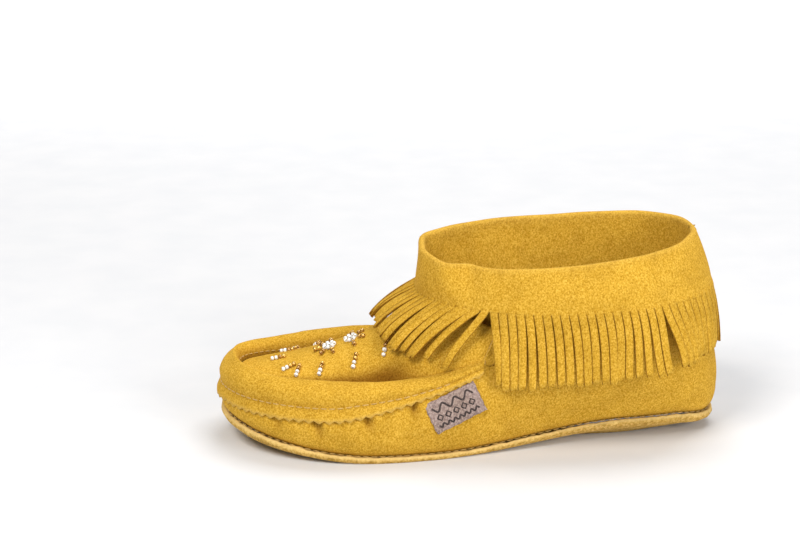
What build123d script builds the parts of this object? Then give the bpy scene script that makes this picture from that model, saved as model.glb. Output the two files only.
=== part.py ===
from build123d import *
import math
import os

# A fleece-lined suede moccasin with a folded, fringed cuff: the left shoe of a pair.
# +X runs from the toe to the heel, -Y is the outer side of the foot, +Z is up.
# The origin is on the floor, under the middle of the whole shoe. Lengths are millimetres.

# ---- leather, fleece and gaps ----
SUEDE = 1.5
FLEECE = 6.0
GAP = 0.3
THREAD = 0.6

# ---- sole ----
TOE_SPRING = 11.5
HEEL_LIFT = 8.5
SOLE_EDGE = 2.6
SOLE_EDGE_ENDS = 1.2
SOLE_THICKNESS = 2.4
FOAM_TOP = 7.0
FOOTBED_TOP = 13.3
SEAM_GAP = 1.0

# ---- plan outline: where the ball and the heel curve begin, as shares of the length ----
BALL_AT = 0.30
HEEL_AT = 0.80
ROUNDNESS = 2.2
STATIONS = 24
TOE_SWING = 3.0

# Each plan outline: toe X, heel X, (outer, inner) half width at the ball and at the rear.
CONTACT_PATCH = (-96.0, 98.0, (35.0, 34.0), (15.0, 15.0))
SOLE_TURN = (-112.0, 117.0, (42.0, 40.5), (23.0, 22.5))
SOLE_OUTLINE = (-124.0, 123.0, (46.0, 44.5), (27.0, 26.0))
FOAM_FOOT = (-90.0, 93.0, (32.0, 31.0), (13.0, 13.0))
FOAM_CROWN = (-101.0, 107.0, (37.0, 35.5), (18.0, 17.5))
FOOTBED_OUTLINE = (-112.0, 111.0, (37.0, 35.5), (18.0, 17.5))
PLUG_OUTLINE = (-112.0, 118.0, (27.5, 27.0), (31.0, 30.0))

# The side wall at four levels, from the sole seam (0) to its top edge (1).
WALL_LEVELS = (0.0, 0.2, 0.6, 1.0)
WALL_OUTLINES = (
    (-123.7, 122.7, (45.7, 44.2), (26.7, 25.7)),
    (-124.6, 124.8, (48.3, 46.8), (31.0, 30.0)),
    (-123.8, 120.5, (48.6, 47.0), (36.0, 34.0)),
    (-118.5, 115.5, (45.0, 42.5), (38.0, 36.0)),
)
WALL_PINCH = 3.5
WALL_PINCH_AT = (0.60, 0.10)
WALL_BELOW_CREST = (6.5, 2.8)
WALL_CLOSES = (0.30, 0.50)

# ---- rolled rim round the forefoot ----
RIM_CREST = 38.4
RIM_TOE_LIFT = 2.6
RIM_RISE = 38.0
RIM_RISE_SPAN = (0.30, 0.68)
PLUG_DROP = 6.0
BAND_STAND_OFF = 1.3
BAND_EDGE = 22.5
BAND_EDGE_RISE = 17.0
BAND_EDGE_SPAN = (0.20, 0.48)
BAND_END_ANGLE = 88.0
FILLER_END_ANGLE = 103.0
FILLER_DROP = 6.2
FILLER_AT = 0.55
FILLER_RADII = (4.0, 2.1)
FILLER_SIDES = 10
RIM_STATIONS = 37
THREAD_STATIONS = 121
SEAM_POINTS = 360
STITCH_ABOVE_EDGE = 6.5
STITCH_SHARE = 0.45
STITCH_LENGTH = 3.0
STITCH_PITCH = 4.0

# ---- vamp plug: X along the shoe and height of its ridge ----
PLUG_RIDGE = ((-111.0, 36.0), (-105.0, 37.0), (-96.0, 38.3), (-83.0, 41.0), (-63.0, 47.0),
              (-43.0, 54.5), (-30.0, 62.5), (-20.0, 70.0), (-8.0, 78.0))
DOME_SHARES = (-1.0, -0.97, -0.88, -0.72, -0.5, -0.25, 0.0, 0.25, 0.5, 0.72, 0.88, 0.97, 1.0)
LINING_WIDTH = 0.84
LINING_DEPTH = 3.6
PLUG_FULL_FROM = -58.0
PLUG_FULL_AT = -31.0

# ---- collar and cuff: centre X, half length, outer and inner half width, and heights ----
# The heights are the mean and the amounts of cos, -sin, cos 2 and cos 3 of the angle.
RIM_OVAL = (42.4, 68.4, 35.5, 37.9, (95.5, 3.5, -3.4, 1.7, -0.3))
ROOT_OVAL = (47.0, 73.6, 44.1, 42.5, (74.5, -0.8, -1.5, 1.5, -0.6))
TIP_OVAL = (54.0, 70.1, 49.2, 47.5, (43.8, 2.6, -3.1, 2.9, -1.3))
OVAL_ROUNDNESS = 2.3
CUFF_BULGE = 1.2
FACING_LEAN = 10.6
WELL_CLEARANCE = 5.0
# Height of the facing's lower edge at angles away from the front.
FACING_FOOT = ((0.0, 66.5), (15.0, 60.0), (30.0, 41.0), (45.0, 44.0), (60.0, 56.0), (75.0, 64.0), (90.0, 66.0))
LINING_BELOW_CREST = 10.5
LINING_TOP_LIMIT = 64.0

# ---- fringe ----
GROUPS_PER_SIDE = 6
STRANDS_PER_GROUP = 7
STRAND_WIDTH = 3.1
STRAND_THICKNESS = 1.3
ROOT_DROP = 2.2
FRONT_FAN = (115.0, 131.0)
FRONT_REACH = (-21.0, -17.5)
FRONT_REACH_BESIDE = (-24.0, -22.5)
FRONT_BESIDE_ANGLE = 40.0
SIDE_SWEEP = -4.0
CORNER_SPREAD = 5.6
CORNER_LIFT = 6.0
CORNER_ANGLES = (62.0, 16.0)

# ---- small pieces ----
LABEL_SIZE = (27.0, 16.0, 1.0)
LABEL_STAND_OFF = 1.8
LABEL_PLACE = (95.1, 27.4)
LABEL_SLOPE = 23.0
WELT_WIDTH = 2.2
WELT_HEIGHT = 1.2
BEAD_RADIUS = 1.05
BEAD_HOLE = 0.35
BEAD_LENGTH = 1.6
BEAD_PITCH = 1.9
# Each ray of beads: X and distance from the middle line of its outermost bead.
BEAD_RAYS = ((-97.0, 0.0), (-92.0, 12.0), (-86.0, 17.5), (-75.0, 20.0), (-58.5, 20.5), (-43.5, 21.5))
RAY_TARGET = (-62.0, 0.0)
FLOWER_CENTRES = ((-69.0, -2.0), (-58.5, -2.0))
FLOWER_CORE_RINGS = ((0.0, 1), (2.5, 7))
PETALS = 7
PETAL_RADII = (4.9, 6.9)


def smooth(value):
    value = min(1.0, max(0.0, value))
    return value * value * (3.0 - 2.0 * value)


def mix(low, high, share):
    return low + (high - low) * share


def span(value, limits):
    return max(0.0, (value - limits[0]) / (limits[1] - limits[0]))


def ramp(value, table):
    """Height between the points of a table, by straight lines."""
    for (x0, z0), (x1, z1) in zip(table, table[1:]):
        if value <= x1:
            return mix(z0, z1, max(0.0, (value - x0) / (x1 - x0)))
    return table[-1][1]


# ---- heights along the shoe, where t is 0 at the toe and 1 at the heel ----

def sole_height(t):
    toe = max(0.0, (0.30 - t) / 0.30) ** 1.7
    heel = smooth((t - 0.42) / 0.42)
    return TOE_SPRING * toe + HEEL_LIFT * heel * (1.0 - 0.4 * smooth((t - 0.9) / 0.1))


def seam_height(t):
    return sole_height(t) + SOLE_EDGE + SOLE_EDGE_ENDS * (2.0 * t - 1.0) ** 2


def toe_lift(t):
    return RIM_TOE_LIFT * max(0.0, 1.0 - t / 0.15) ** 2


def crest_height(t):
    rise = min(1.0, span(t, RIM_RISE_SPAN)) ** 2.2
    return RIM_CREST + toe_lift(t) + RIM_RISE * rise


def wall_top(t):
    return crest_height(t) - mix(WALL_BELOW_CREST[0], WALL_BELOW_CREST[1], smooth(span(t, WALL_CLOSES)))


def band_edge_height(t):
    return BAND_EDGE + BAND_EDGE_RISE * span(t, BAND_EDGE_SPAN) ** 1.5


def stitch_height(t):
    edge = band_edge_height(t)
    return edge + min(STITCH_ABOVE_EDGE, STITCH_SHARE * (crest_height(t) - edge))


# ---- plan outlines and ovals ----

def half_width(t, ball, rear):
    if t < BALL_AT:
        reach = (BALL_AT - t) / BALL_AT
    else:
        reach = max(0.0, (t - HEEL_AT) / (1.0 - HEEL_AT))
    end = (1.0 - reach ** ROUNDNESS) ** (1.0 / ROUNDNESS)
    return end * mix(ball, rear, smooth((t - BALL_AT) / (HEEL_AT - BALL_AT)))


def outline_point(shape, angle, height):
    """Point of a plan outline at an angle: 0 at the heel, 90 on the outer side, 180 at the toe."""
    toe, heel, ball, rear = shape
    turn = math.radians(angle)
    t = (1.0 + math.cos(turn)) / 2.0
    side = 0 if math.sin(turn) >= 0.0 else 1
    sign = -1.0 if side == 0 else 1.0
    y = sign * half_width(t, ball[side], rear[side]) + TOE_SWING * max(0.0, 1.0 - t / BALL_AT) ** 2
    z = height(t) if callable(height) else height
    return (mix(toe, heel, t), y, z)


def angles(count=STATIONS):
    return [360.0 * i / count for i in range(count)]


def outline(shape, height):
    return [outline_point(shape, angle, height) for angle in angles()]


def oval_point(oval, angle):
    centre, half_length, outer, inner, (mean, fore, side, pinch, third) = oval
    turn = math.radians(angle)
    c, s = math.cos(turn), math.sin(turn)
    power = 2.0 / OVAL_ROUNDNESS
    x = centre + half_length * math.copysign(abs(c) ** power, c)
    y = (-outer if s > 0.0 else inner) * abs(s) ** power
    z = mean + fore * c + side * s + pinch * math.cos(2.0 * turn) + third * math.cos(3.0 * turn)
    return (x, y, z)


def inset(ring, distance):
    """A ring moved towards its inside, level."""
    moved = []
    for i, (x, y, z) in enumerate(ring):
        before, after = ring[i - 1], ring[(i + 1) % len(ring)]
        dx, dy = after[0] - before[0], after[1] - before[1]
        length = math.hypot(dx, dy)
        moved.append((x + dy / length * distance, y - dx / length * distance, z))
    return moved


def wall_shape(level):
    """Plan outline of the side wall at a level, between the given ones."""
    def part(pick):
        total = 0.0
        for i, own in enumerate(WALL_LEVELS):
            weight = 1.0
            for j, other in enumerate(WALL_LEVELS):
                if j != i:
                    weight *= (level - other) / (own - other)
            total += weight * pick(WALL_OUTLINES[i])
        return total
    ball = (part(lambda s: s[2][0]), part(lambda s: s[2][1]))
    rear = (part(lambda s: s[3][0]), part(lambda s: s[3][1]))
    return (part(lambda s: s[0]), part(lambda s: s[1]), ball, rear)


def wall_point(level, angle, height):
    """Point of the wall's outer face, which draws in at its top where the collar begins."""
    x, y, z = outline_point(wall_shape(level), angle, height)
    t = (1.0 + math.cos(math.radians(angle))) / 2.0
    pinch = WALL_PINCH * level * level * math.exp(-((t - WALL_PINCH_AT[0]) / WALL_PINCH_AT[1]) ** 2)
    return (x, y - math.copysign(min(pinch, abs(y)), y), z)


def wall_height(level):
    def height(t):
        low = seam_height(t) + SEAM_GAP
        return mix(low, wall_top(t), level)
    return height


def wall_ring(level, depth=0.0):
    return inset([wall_point(level, angle, wall_height(level)) for angle in angles()], depth)


def wall_point_at(angle, z):
    """Point of the wall's outer face at an angle and a height."""
    t = (1.0 + math.cos(math.radians(angle))) / 2.0
    low = seam_height(t) + SEAM_GAP
    level = (z - low) / (wall_top(t) - low)
    return wall_point(level, angle, z)


# ---- solids from rings ----

def closed_wire(ring):
    return Wire(Spline(*ring, periodic=True))


def hoop(outer, inner):
    """Solid ring between outer and inner skins, each given by rings from the bottom up."""
    outside = [closed_wire(ring) for ring in outer]
    inside = [closed_wire(ring) for ring in inner]
    faces = Shell.make_loft(outside).faces() + Shell.make_loft(inside).faces()
    faces += Shell.make_loft([outside[-1], inside[-1]], ruled=True).faces()
    faces += Shell.make_loft([outside[0], inside[0]], ruled=True).faces()
    return Solid(Shell(faces))


def slab(bottom, top):
    """Solid between two flat rings."""
    return Solid.make_loft([closed_wire(bottom), closed_wire(top)], ruled=True)


def strip(sections):
    """Solid along a row of closed sections, each a list of points."""
    wires = []
    for points in sections:
        wires.append(Wire(Polyline(*points, close=True)))
    return Solid.make_loft(wires)


def bar(start, end, width, thickness, across):
    """Straight flat bar from start to end, its width along the direction across."""
    start, end = Vector(*start), Vector(*end)
    place = Plane(origin=(start + end) * 0.5, x_dir=across, z_dir=end - start)
    return place.location * Box(width, thickness, (end - start).length)


def stitch_row(points, count):
    """Short stitches of thread along a line of points, every second pitch left open."""
    stitches = []
    for i in range(count):
        start = Vector(*points(i * STITCH_PITCH))
        end = Vector(*points(i * STITCH_PITCH + STITCH_LENGTH))
        place = Plane(origin=(start + end) * 0.5, z_dir=end - start)
        stitches.append(place.location * Cylinder(THREAD / 2.0, (end - start).length))
    return stitches


def along(points):
    """Function giving the point at a distance along a row of points, and the row's length."""
    steps = [math.dist(a, b) for a, b in zip(points, points[1:])]

    def at(distance):
        left = distance
        for a, b, step in zip(points, points[1:], steps):
            if left <= step:
                return tuple(mix(p, q, left / step) for p, q in zip(a, b))
            left -= step
        return points[-1]
    return at, sum(steps)


# ---- sole and linings ----

def outsole():
    contact = outline(CONTACT_PATCH, 0.0)
    turn = outline(SOLE_TURN, lambda t: 0.3 * sole_height(t))
    edge = outline(SOLE_OUTLINE, sole_height)
    lip = outline(SOLE_OUTLINE, seam_height)
    inner_turn = outline(SOLE_TURN, lambda t: SOLE_THICKNESS + 0.4 * sole_height(t))
    inner = inset(outline(CONTACT_PATCH, SOLE_THICKNESS), 0.4)
    under = [closed_wire(ring) for ring in (contact, turn, edge)]
    over = [closed_wire(ring) for ring in (inner, inner_turn, inset(lip, SUEDE))]
    top_edge = closed_wire(lip)
    faces = Shell.make_loft(under, ruled=True).faces() + Shell.make_loft(over, ruled=True).faces()
    faces += Shell.make_loft([under[-1], top_edge], ruled=True).faces()
    faces += Shell.make_loft([top_edge, over[-1]], ruled=True).faces()
    faces += [Face(under[0]), Face(over[0])]
    return Solid(Shell(faces))


def midsole_foam():
    return slab(outline(FOAM_FOOT, SOLE_THICKNESS + GAP), outline(FOAM_CROWN, FOAM_TOP))


def fleece_footbed():
    return slab(outline(FOOTBED_OUTLINE, FOAM_TOP + GAP), outline(FOOTBED_OUTLINE, FOOTBED_TOP))


def side_upper():
    outer = [wall_ring(level) for level in WALL_LEVELS]
    inner = [wall_ring(level, SUEDE) for level in WALL_LEVELS]
    return hoop(outer, inner)


def fleece_lining():
    def ring(share, depth):
        points = []
        for angle in angles():
            t = (1.0 + math.cos(math.radians(angle))) / 2.0
            top = min(crest_height(t) - LINING_BELOW_CREST, LINING_TOP_LIMIT)
            points.append(wall_point_at(angle, mix(seam_height(t) + 2.5, top, share)))
        return inset(points, depth)
    shares = (0.0, 0.33, 0.67, 1.0)
    outer = [ring(share, SUEDE + GAP) for share in shares]
    inner = [ring(share, SUEDE + GAP + FLEECE) for share in shares]
    return hoop(outer, inner)


def heel_welt():
    sections = []
    for level in (0.03, 0.2, 0.4, 0.6, 0.8):
        x, _, z = outline_point(wall_shape(level), 0.0, wall_height(level))
        near, far = x + GAP, x + GAP + WELT_HEIGHT
        half = WELT_WIDTH / 2.0
        sections.append([(near, -half, z), (far, -half, z), (far, half, z), (near, half, z)])
    return strip(sections)


# ---- forefoot rim and plug ----

def rim_angles(end=BAND_END_ANGLE, count=RIM_STATIONS):
    """Angles of the rim from its outer rear end, round the toe, to its inner rear end."""
    sweep = 360.0 - 2.0 * end
    return [end + sweep * i / (count - 1) for i in range(count)]


def rim_frame(angle):
    """Plug seam point, level direction from it to the wall, and distance to the wall at a height."""
    t = (1.0 + math.cos(math.radians(angle))) / 2.0
    seam = Vector(*outline_point(PLUG_OUTLINE, angle, crest_height(t) - PLUG_DROP))
    top = Vector(*wall_point_at(angle, wall_top(t)))
    out = Vector(top.X - seam.X, top.Y - seam.Y, 0.0).normalized()

    def reach(z):
        return (Vector(*wall_point_at(angle, min(z, wall_top(t)))) - seam).dot(out)
    return t, seam, out, reach


def rim_profile(angle, depth):
    """Skin of the rolled rim at an angle, from its lower edge over the crest to the plug seam."""
    t, seam, out, reach = rim_frame(angle)
    edge, crest = band_edge_height(t), crest_height(t)
    skin = []
    for share in (0.0, 0.35, 0.7):
        z = mix(edge, crest, share)
        skin.append((reach(z) + BAND_STAND_OFF + SUEDE - depth, z))
    shoulder = reach(crest)
    for share, drop in ((0.82, 0.0), (0.5, 0.8), (0.25, 3.0), (0.07, PLUG_DROP)):
        skin.append((shoulder * share, crest - drop - depth))
    return [Vector(seam.X, seam.Y, z) + out * distance for distance, z in skin]


def rim_band():
    sections = []
    for angle in rim_angles():
        skin = rim_profile(angle, 0.0) + rim_profile(angle, SUEDE)[::-1]
        sections.append([tuple(point) for point in skin])
    return strip(sections)


def rim_filler():
    """The turned-in, gathered edges of the upper and its lining, packed inside the rolled rim."""
    sections = []
    for angle in rim_angles(FILLER_END_ANGLE):
        t, seam, out, reach = rim_frame(angle)
        width = reach(wall_top(t))
        half = min(FILLER_RADII[0], 0.26 * width)
        centre = Vector(seam.X, seam.Y, crest_height(t) - FILLER_DROP) + out * (FILLER_AT * width)
        section = []
        for i in range(FILLER_SIDES):
            turn = 2.0 * math.pi * i / FILLER_SIDES
            offset = out * (half * math.cos(turn)) + Vector(0, 0, FILLER_RADII[1] * math.sin(turn))
            section.append(tuple(centre + offset))
        sections.append(section)
    return strip(sections)


def plug_share(x):
    """Share of the shoe's length at which the plug's outline has this X."""
    return (x - PLUG_OUTLINE[0]) / (PLUG_OUTLINE[1] - PLUG_OUTLINE[0])


def plug_point(x, v, sink=0.0):
    """Point of the plug at an X and a share v of its half width, -1 on the outer side."""
    t = plug_share(x)
    side = 0 if v < 0.0 else 1
    width = half_width(t, PLUG_OUTLINE[2][side], PLUG_OUTLINE[3][side]) - 0.6
    middle = TOE_SWING * max(0.0, 1.0 - t / BALL_AT) ** 2
    low = crest_height(t) - PLUG_DROP
    fullness = mix(1.0, 0.5, smooth((x - PLUG_FULL_FROM) / (PLUG_FULL_AT - PLUG_FULL_FROM)))
    dome = (1.0 - v * v) ** fullness
    return (x, middle + v * width, low + (ramp(x, PLUG_RIDGE) - low) * dome - sink)


def dome_strip(stations, width, sink, thickness):
    """Domed sheet over the forefoot, through sections across it, open where the collar stands."""
    sections = []
    for x in stations:
        top = [plug_point(x, v * width, sink) for v in DOME_SHARES]
        bottom = [plug_point(x, v * width, sink + thickness) for v in DOME_SHARES]
        sections.append(top + bottom[::-1])
    return strip(sections) - collar_well()


def vamp_plug():
    stations = (-111.2, -109.0, -105.0, -98.0, -88.0, -75.0, -60.0, -48.0, -36.0, -26.0, -16.0, -8.0, 3.0)
    return dome_strip(stations, 1.0, 0.0, SUEDE)


def vamp_lining():
    stations = (-105.0, -98.0, -88.0, -75.0, -60.0, -48.0, -36.0, -26.0, -16.0, -8.0, 3.0)
    return dome_strip(stations, LINING_WIDTH, SUEDE + 4.0 * GAP, LINING_DEPTH)


# ---- collar and cuff ----

def cuff_point(level, angle):
    """Point of the cuff's outer face, from the fringe roots (0) to the fold at the rim (1)."""
    root, rim = oval_point(ROOT_OVAL, angle), oval_point(RIM_OVAL, angle)
    bulge = 1.0 + CUFF_BULGE / 45.0 * math.sin(math.pi * level)
    point = [mix(a, b, level) for a, b in zip(root, rim)]
    middle = mix(ROOT_OVAL[0], RIM_OVAL[0], level)
    return (middle + (point[0] - middle) * bulge, point[1] * bulge, point[2])


def cuff_ring(level, depth=0.0):
    return inset([cuff_point(level, angle) for angle in angles()], depth)


def cuff_band():
    levels = (0.0, 0.5, 1.0)
    outer = [cuff_ring(level) for level in levels]
    inner = [cuff_ring(level, SUEDE) for level in levels]
    return hoop(outer, inner)


def facing_base(depth):
    return inset([oval_point(ROOT_OVAL, angle) for angle in angles()], FACING_LEAN + depth)


def collar_well():
    """Upright solid a little larger than the foot of the collar facing."""
    ring = facing_base(-WELL_CLEARANCE)
    return slab([(x, y, 20.0) for x, y, _ in ring], [(x, y, 110.0) for x, y, _ in ring])


def facing_ring(share, depth):
    """Ring of the collar facing, from its lower edge (0) to the rim (1)."""
    top = inset([cuff_point(1.0, angle) for angle in angles()], SUEDE + GAP + depth)
    ring = []
    for angle, upper, lower in zip(angles(), top, facing_base(depth)):
        foot = ramp(abs(angle - 180.0), FACING_FOOT)
        plan = smooth(share) ** 0.8
        ring.append((mix(lower[0], upper[0], plan), mix(lower[1], upper[1], plan), mix(foot, upper[2], share)))
    return ring


def collar_facing():
    shares = (0.0, 0.35, 0.7, 1.0)
    outer = [facing_ring(share, 0.0) for share in shares]
    inner = [facing_ring(share, SUEDE) for share in shares]
    return hoop(outer, inner)


# ---- fringe ----

def fringe_angles():
    """Strand angles at equal distances round the fringe roots, starting beside the back seam."""
    fine = 720
    ring = [oval_point(ROOT_OVAL, 360.0 * i / fine) for i in range(fine + 1)]
    steps = [math.dist(a, b) for a, b in zip(ring, ring[1:])]
    count = (2 * GROUPS_PER_SIDE + 1) * STRANDS_PER_GROUP
    pitch = sum(steps) / count
    found, travelled, wanted = [], 0.0, pitch / 2.0
    for i, step in enumerate(steps):
        while len(found) < count and travelled + step >= wanted:
            found.append(360.0 * (i + (wanted - travelled) / step) / fine)
            wanted += pitch
        travelled += step
    return found


def strand_ends(angle):
    """Root and tip of one strand. At the front they fan forward over the plug."""
    root = Vector(*cuff_point(0.0, angle))
    ahead = Vector(*cuff_point(0.0, angle + 1.0)) - Vector(*cuff_point(0.0, angle - 1.0))
    out = Vector(-ahead.Y, ahead.X, 0.0).normalized()
    root = root - out * (SUEDE / 2.0) - Vector(0.0, 0.0, ROOT_DROP)
    sweep = SIDE_SWEEP * math.sin(math.radians(angle)) ** 2
    side_tip = Vector(*oval_point(TIP_OVAL, angle)) + Vector(sweep, 0.0, 0.0)
    away = abs(angle - 180.0)
    share = smooth((180.0 - away - FRONT_FAN[0]) / (FRONT_FAN[1] - FRONT_FAN[0]))
    beside = smooth(away / FRONT_BESIDE_ANGLE)
    spread = CORNER_SPREAD * math.exp(-((away - CORNER_ANGLES[0]) / CORNER_ANGLES[1]) ** 2)
    front_tip = root + Vector(mix(FRONT_REACH[0], FRONT_REACH_BESIDE[0], beside), 0.0,
                              mix(FRONT_REACH[1], FRONT_REACH_BESIDE[1], beside))
    lift = Vector(0.0, 0.0, CORNER_LIFT * 4.0 * share * (1.0 - share))
    return root, side_tip + (front_tip - side_tip) * share + out * spread + lift, out


def fringe_groups():
    """Name and strand angles of each fringe group, from the outer rear round to the inner rear."""
    found = fringe_angles()
    names = [f"fringe_outer_{i + 1}" for i in range(GROUPS_PER_SIDE)]
    names.append("fringe_front")
    names += [f"fringe_inner_{GROUPS_PER_SIDE - i}" for i in range(GROUPS_PER_SIDE)]
    groups = []
    for i, name in enumerate(names):
        groups.append((name, found[i * STRANDS_PER_GROUP:(i + 1) * STRANDS_PER_GROUP]))
    return groups


def fringe_group(strand_angles):
    strands = []
    for angle in strand_angles:
        root, tip, out = strand_ends(angle)
        across = out.cross(tip - root).normalized()
        strands.append(bar(tuple(root), tuple(tip), STRAND_WIDTH, STRAND_THICKNESS, across))
    return strands


# ---- stitches, label and beads ----

def rim_stitching():
    line = []
    for angle in rim_angles(count=THREAD_STATIONS)[8:-8]:
        t, seam, out, reach = rim_frame(angle)
        height = stitch_height(t)
        distance = reach(height) + BAND_STAND_OFF + GAP + SUEDE + 0.75
        line.append(tuple(Vector(seam.X, seam.Y, height) + out * distance))
    at, length = along(line)
    return stitch_row(at, int(length / STITCH_PITCH) - 1)


def plug_seam_thread():
    line = [outline_point(PLUG_OUTLINE, angle, lambda t: crest_height(t) - PLUG_DROP - 3.0)
            for angle in rim_angles(FILLER_END_ANGLE, THREAD_STATIONS)]
    at, length = along(line)
    return stitch_row(at, int(length / STITCH_PITCH) - 1)


def sole_seam_thread():
    seam = closed_wire(outline(SOLE_OUTLINE, lambda t: seam_height(t) + SEAM_GAP / 2.0))
    ring = [tuple(seam.position_at(i / SEAM_POINTS)) for i in range(SEAM_POINTS)]
    ring = inset(ring, SUEDE / 2.0)
    at, length = along(ring + ring[:1])
    return stitch_row(at, int(length / STITCH_PITCH) - 1)


def cuff_seam_thread():
    line = [cuff_point(level, 0.0) for level in (0.05, 0.5, 0.95)]
    line = [(x + THREAD / 2.0 + 2.0 * GAP, y, z) for x, y, z in line]
    at, length = along(line)
    return stitch_row(at, int(length / STITCH_PITCH))


def label_tab():
    angle, z = LABEL_PLACE
    centre = Vector(*wall_point_at(angle, z))
    rearward = (Vector(*wall_point_at(angle - 4.0, z)) - centre).normalized()
    upward = (Vector(*wall_point_at(angle, z + 4.0)) - centre).normalized()
    out = rearward.cross(upward).normalized()
    slope = math.radians(LABEL_SLOPE)
    x_dir = rearward * math.cos(slope) + upward * math.sin(slope)
    place = Plane(origin=centre + out * LABEL_STAND_OFF, x_dir=x_dir, z_dir=out)
    return place.location * Box(*LABEL_SIZE)


def plug_surface(x, y):
    """Point of the plug's top at X and Y, and the direction out of it."""
    def height(px, py):
        t = plug_share(px)
        middle = TOE_SWING * max(0.0, 1.0 - t / BALL_AT) ** 2
        side = 0 if py < middle else 1
        width = half_width(t, PLUG_OUTLINE[2][side], PLUG_OUTLINE[3][side]) - 0.6
        return plug_point(px, max(-0.98, min(0.98, (py - middle) / width)))[2]
    z = height(x, y)
    slope_x, slope_y = height(x + 1.0, y) - z, height(x, y + 1.0) - z
    return Vector(x, y, z), Vector(-slope_x, -slope_y, 1.0).normalized()


def bead(x, y, heading):
    point, up = plug_surface(x, y)
    direction = Vector(math.cos(heading), math.sin(heading), 0.0)
    direction = (direction - up * direction.dot(up)).normalized()
    place = Plane(origin=point + up * (BEAD_RADIUS + GAP), z_dir=direction)
    tube = Cylinder(BEAD_RADIUS, BEAD_LENGTH) - Cylinder(BEAD_HOLE, BEAD_LENGTH)
    return place.location * tube


def ray_beads(first, last):
    """Beads of all the rays, from bead number first up to last, counted from the outer end."""
    beads = []
    for x, away in BEAD_RAYS:
        for sign in ((-1.0, 1.0) if away else (1.0,)):
            y = sign * away
            heading = math.atan2(RAY_TARGET[1] - y, RAY_TARGET[0] - x)
            if away > 15.0:
                heading = math.radians(-70.0 * sign)
            for i in range(first, last):
                beads.append(bead(x + i * BEAD_PITCH * math.cos(heading),
                                  y + i * BEAD_PITCH * math.sin(heading), heading))
    return beads


def white_beads():
    beads = ray_beads(0, 2)
    for cx, cy in FLOWER_CENTRES:
        for radius, count in FLOWER_CORE_RINGS:
            for i in range(count):
                turn = 2.0 * math.pi * i / count
                beads.append(bead(cx + radius * math.cos(turn), cy + radius * math.sin(turn), turn + 1.57))
    return beads


def gold_beads():
    beads = ray_beads(2, 4)
    for number, (cx, cy) in enumerate(FLOWER_CENTRES):
        for i in range(PETALS):
            turn = 2.0 * math.pi * (i + 0.5) / PETALS
            toward_other = math.cos(turn) if number == 0 else -math.cos(turn)
            if toward_other > 0.5:
                continue
            for radius in PETAL_RADII:
                beads.append(bead(cx + radius * math.cos(turn), cy + radius * math.sin(turn), turn))
    return beads


def write(name, shape):
    solids = shape if isinstance(shape, list) else [shape]
    export_step(Compound(solids) if len(solids) > 1 else solids[0], f"parts/{name}.step")


def main():
    os.makedirs("parts", exist_ok=True)
    makers = (outsole, midsole_foam, fleece_footbed, side_upper, fleece_lining, heel_welt, rim_band,
              rim_filler, vamp_plug, vamp_lining, cuff_band, collar_facing, label_tab, white_beads,
              gold_beads, rim_stitching, plug_seam_thread, sole_seam_thread, cuff_seam_thread)
    for maker in makers:
        write(maker.__name__, maker())
    for name, strand_angles in fringe_groups():
        write(name, fringe_group(strand_angles))


if __name__ == "__main__":
    main()
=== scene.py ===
import math
import random

import bmesh
import bpy
from mathutils import Matrix, Vector, noise

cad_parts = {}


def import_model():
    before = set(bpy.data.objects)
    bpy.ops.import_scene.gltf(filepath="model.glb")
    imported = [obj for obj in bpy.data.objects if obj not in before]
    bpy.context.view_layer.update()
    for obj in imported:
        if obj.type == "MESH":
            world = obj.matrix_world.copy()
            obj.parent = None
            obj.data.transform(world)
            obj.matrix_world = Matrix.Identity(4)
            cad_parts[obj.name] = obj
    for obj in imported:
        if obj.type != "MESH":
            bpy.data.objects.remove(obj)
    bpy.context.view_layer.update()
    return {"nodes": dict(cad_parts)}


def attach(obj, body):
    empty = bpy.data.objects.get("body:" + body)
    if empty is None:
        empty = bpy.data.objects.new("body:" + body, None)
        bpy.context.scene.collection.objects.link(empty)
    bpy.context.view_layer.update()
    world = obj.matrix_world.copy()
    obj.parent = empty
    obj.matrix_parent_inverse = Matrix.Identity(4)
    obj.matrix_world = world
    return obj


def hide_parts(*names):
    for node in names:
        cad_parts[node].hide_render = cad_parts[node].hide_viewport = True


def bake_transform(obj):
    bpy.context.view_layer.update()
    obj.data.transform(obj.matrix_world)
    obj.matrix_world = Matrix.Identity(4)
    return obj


# The looks of a fleece-lined suede moccasin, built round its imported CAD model.
# Shapes are worked out in millimetres from the same dimensions as the CAD model, and become metres where a
# mesh is made. +X runs from the toe to the heel, -Y is the outer side of the foot, +Z is up.

MM = 0.001
SHOE = "shoe"
UP = Vector((0.0, 0.0, 1.0))
OUTER_SIDE = Vector((0.0, -1.0, 0.0))

# ---- leather, fleece and gaps ----
SUEDE = 1.5
FLEECE = 6.0
GAP = 0.3

# ---- sole ----
TOE_SPRING = 11.5
HEEL_LIFT = 8.5
SOLE_EDGE = 2.6
SOLE_EDGE_ENDS = 1.2
SOLE_THICKNESS = 2.4
FOAM_TOP = 7.0
FOOTBED_TOP = 13.3
SEAM_GAP = 1.0
WALL_ABOVE_SEAM = 0.15
WALL_UNDER_BAND = 0.5
BAND_FADES = (0.46, 0.54)

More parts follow.
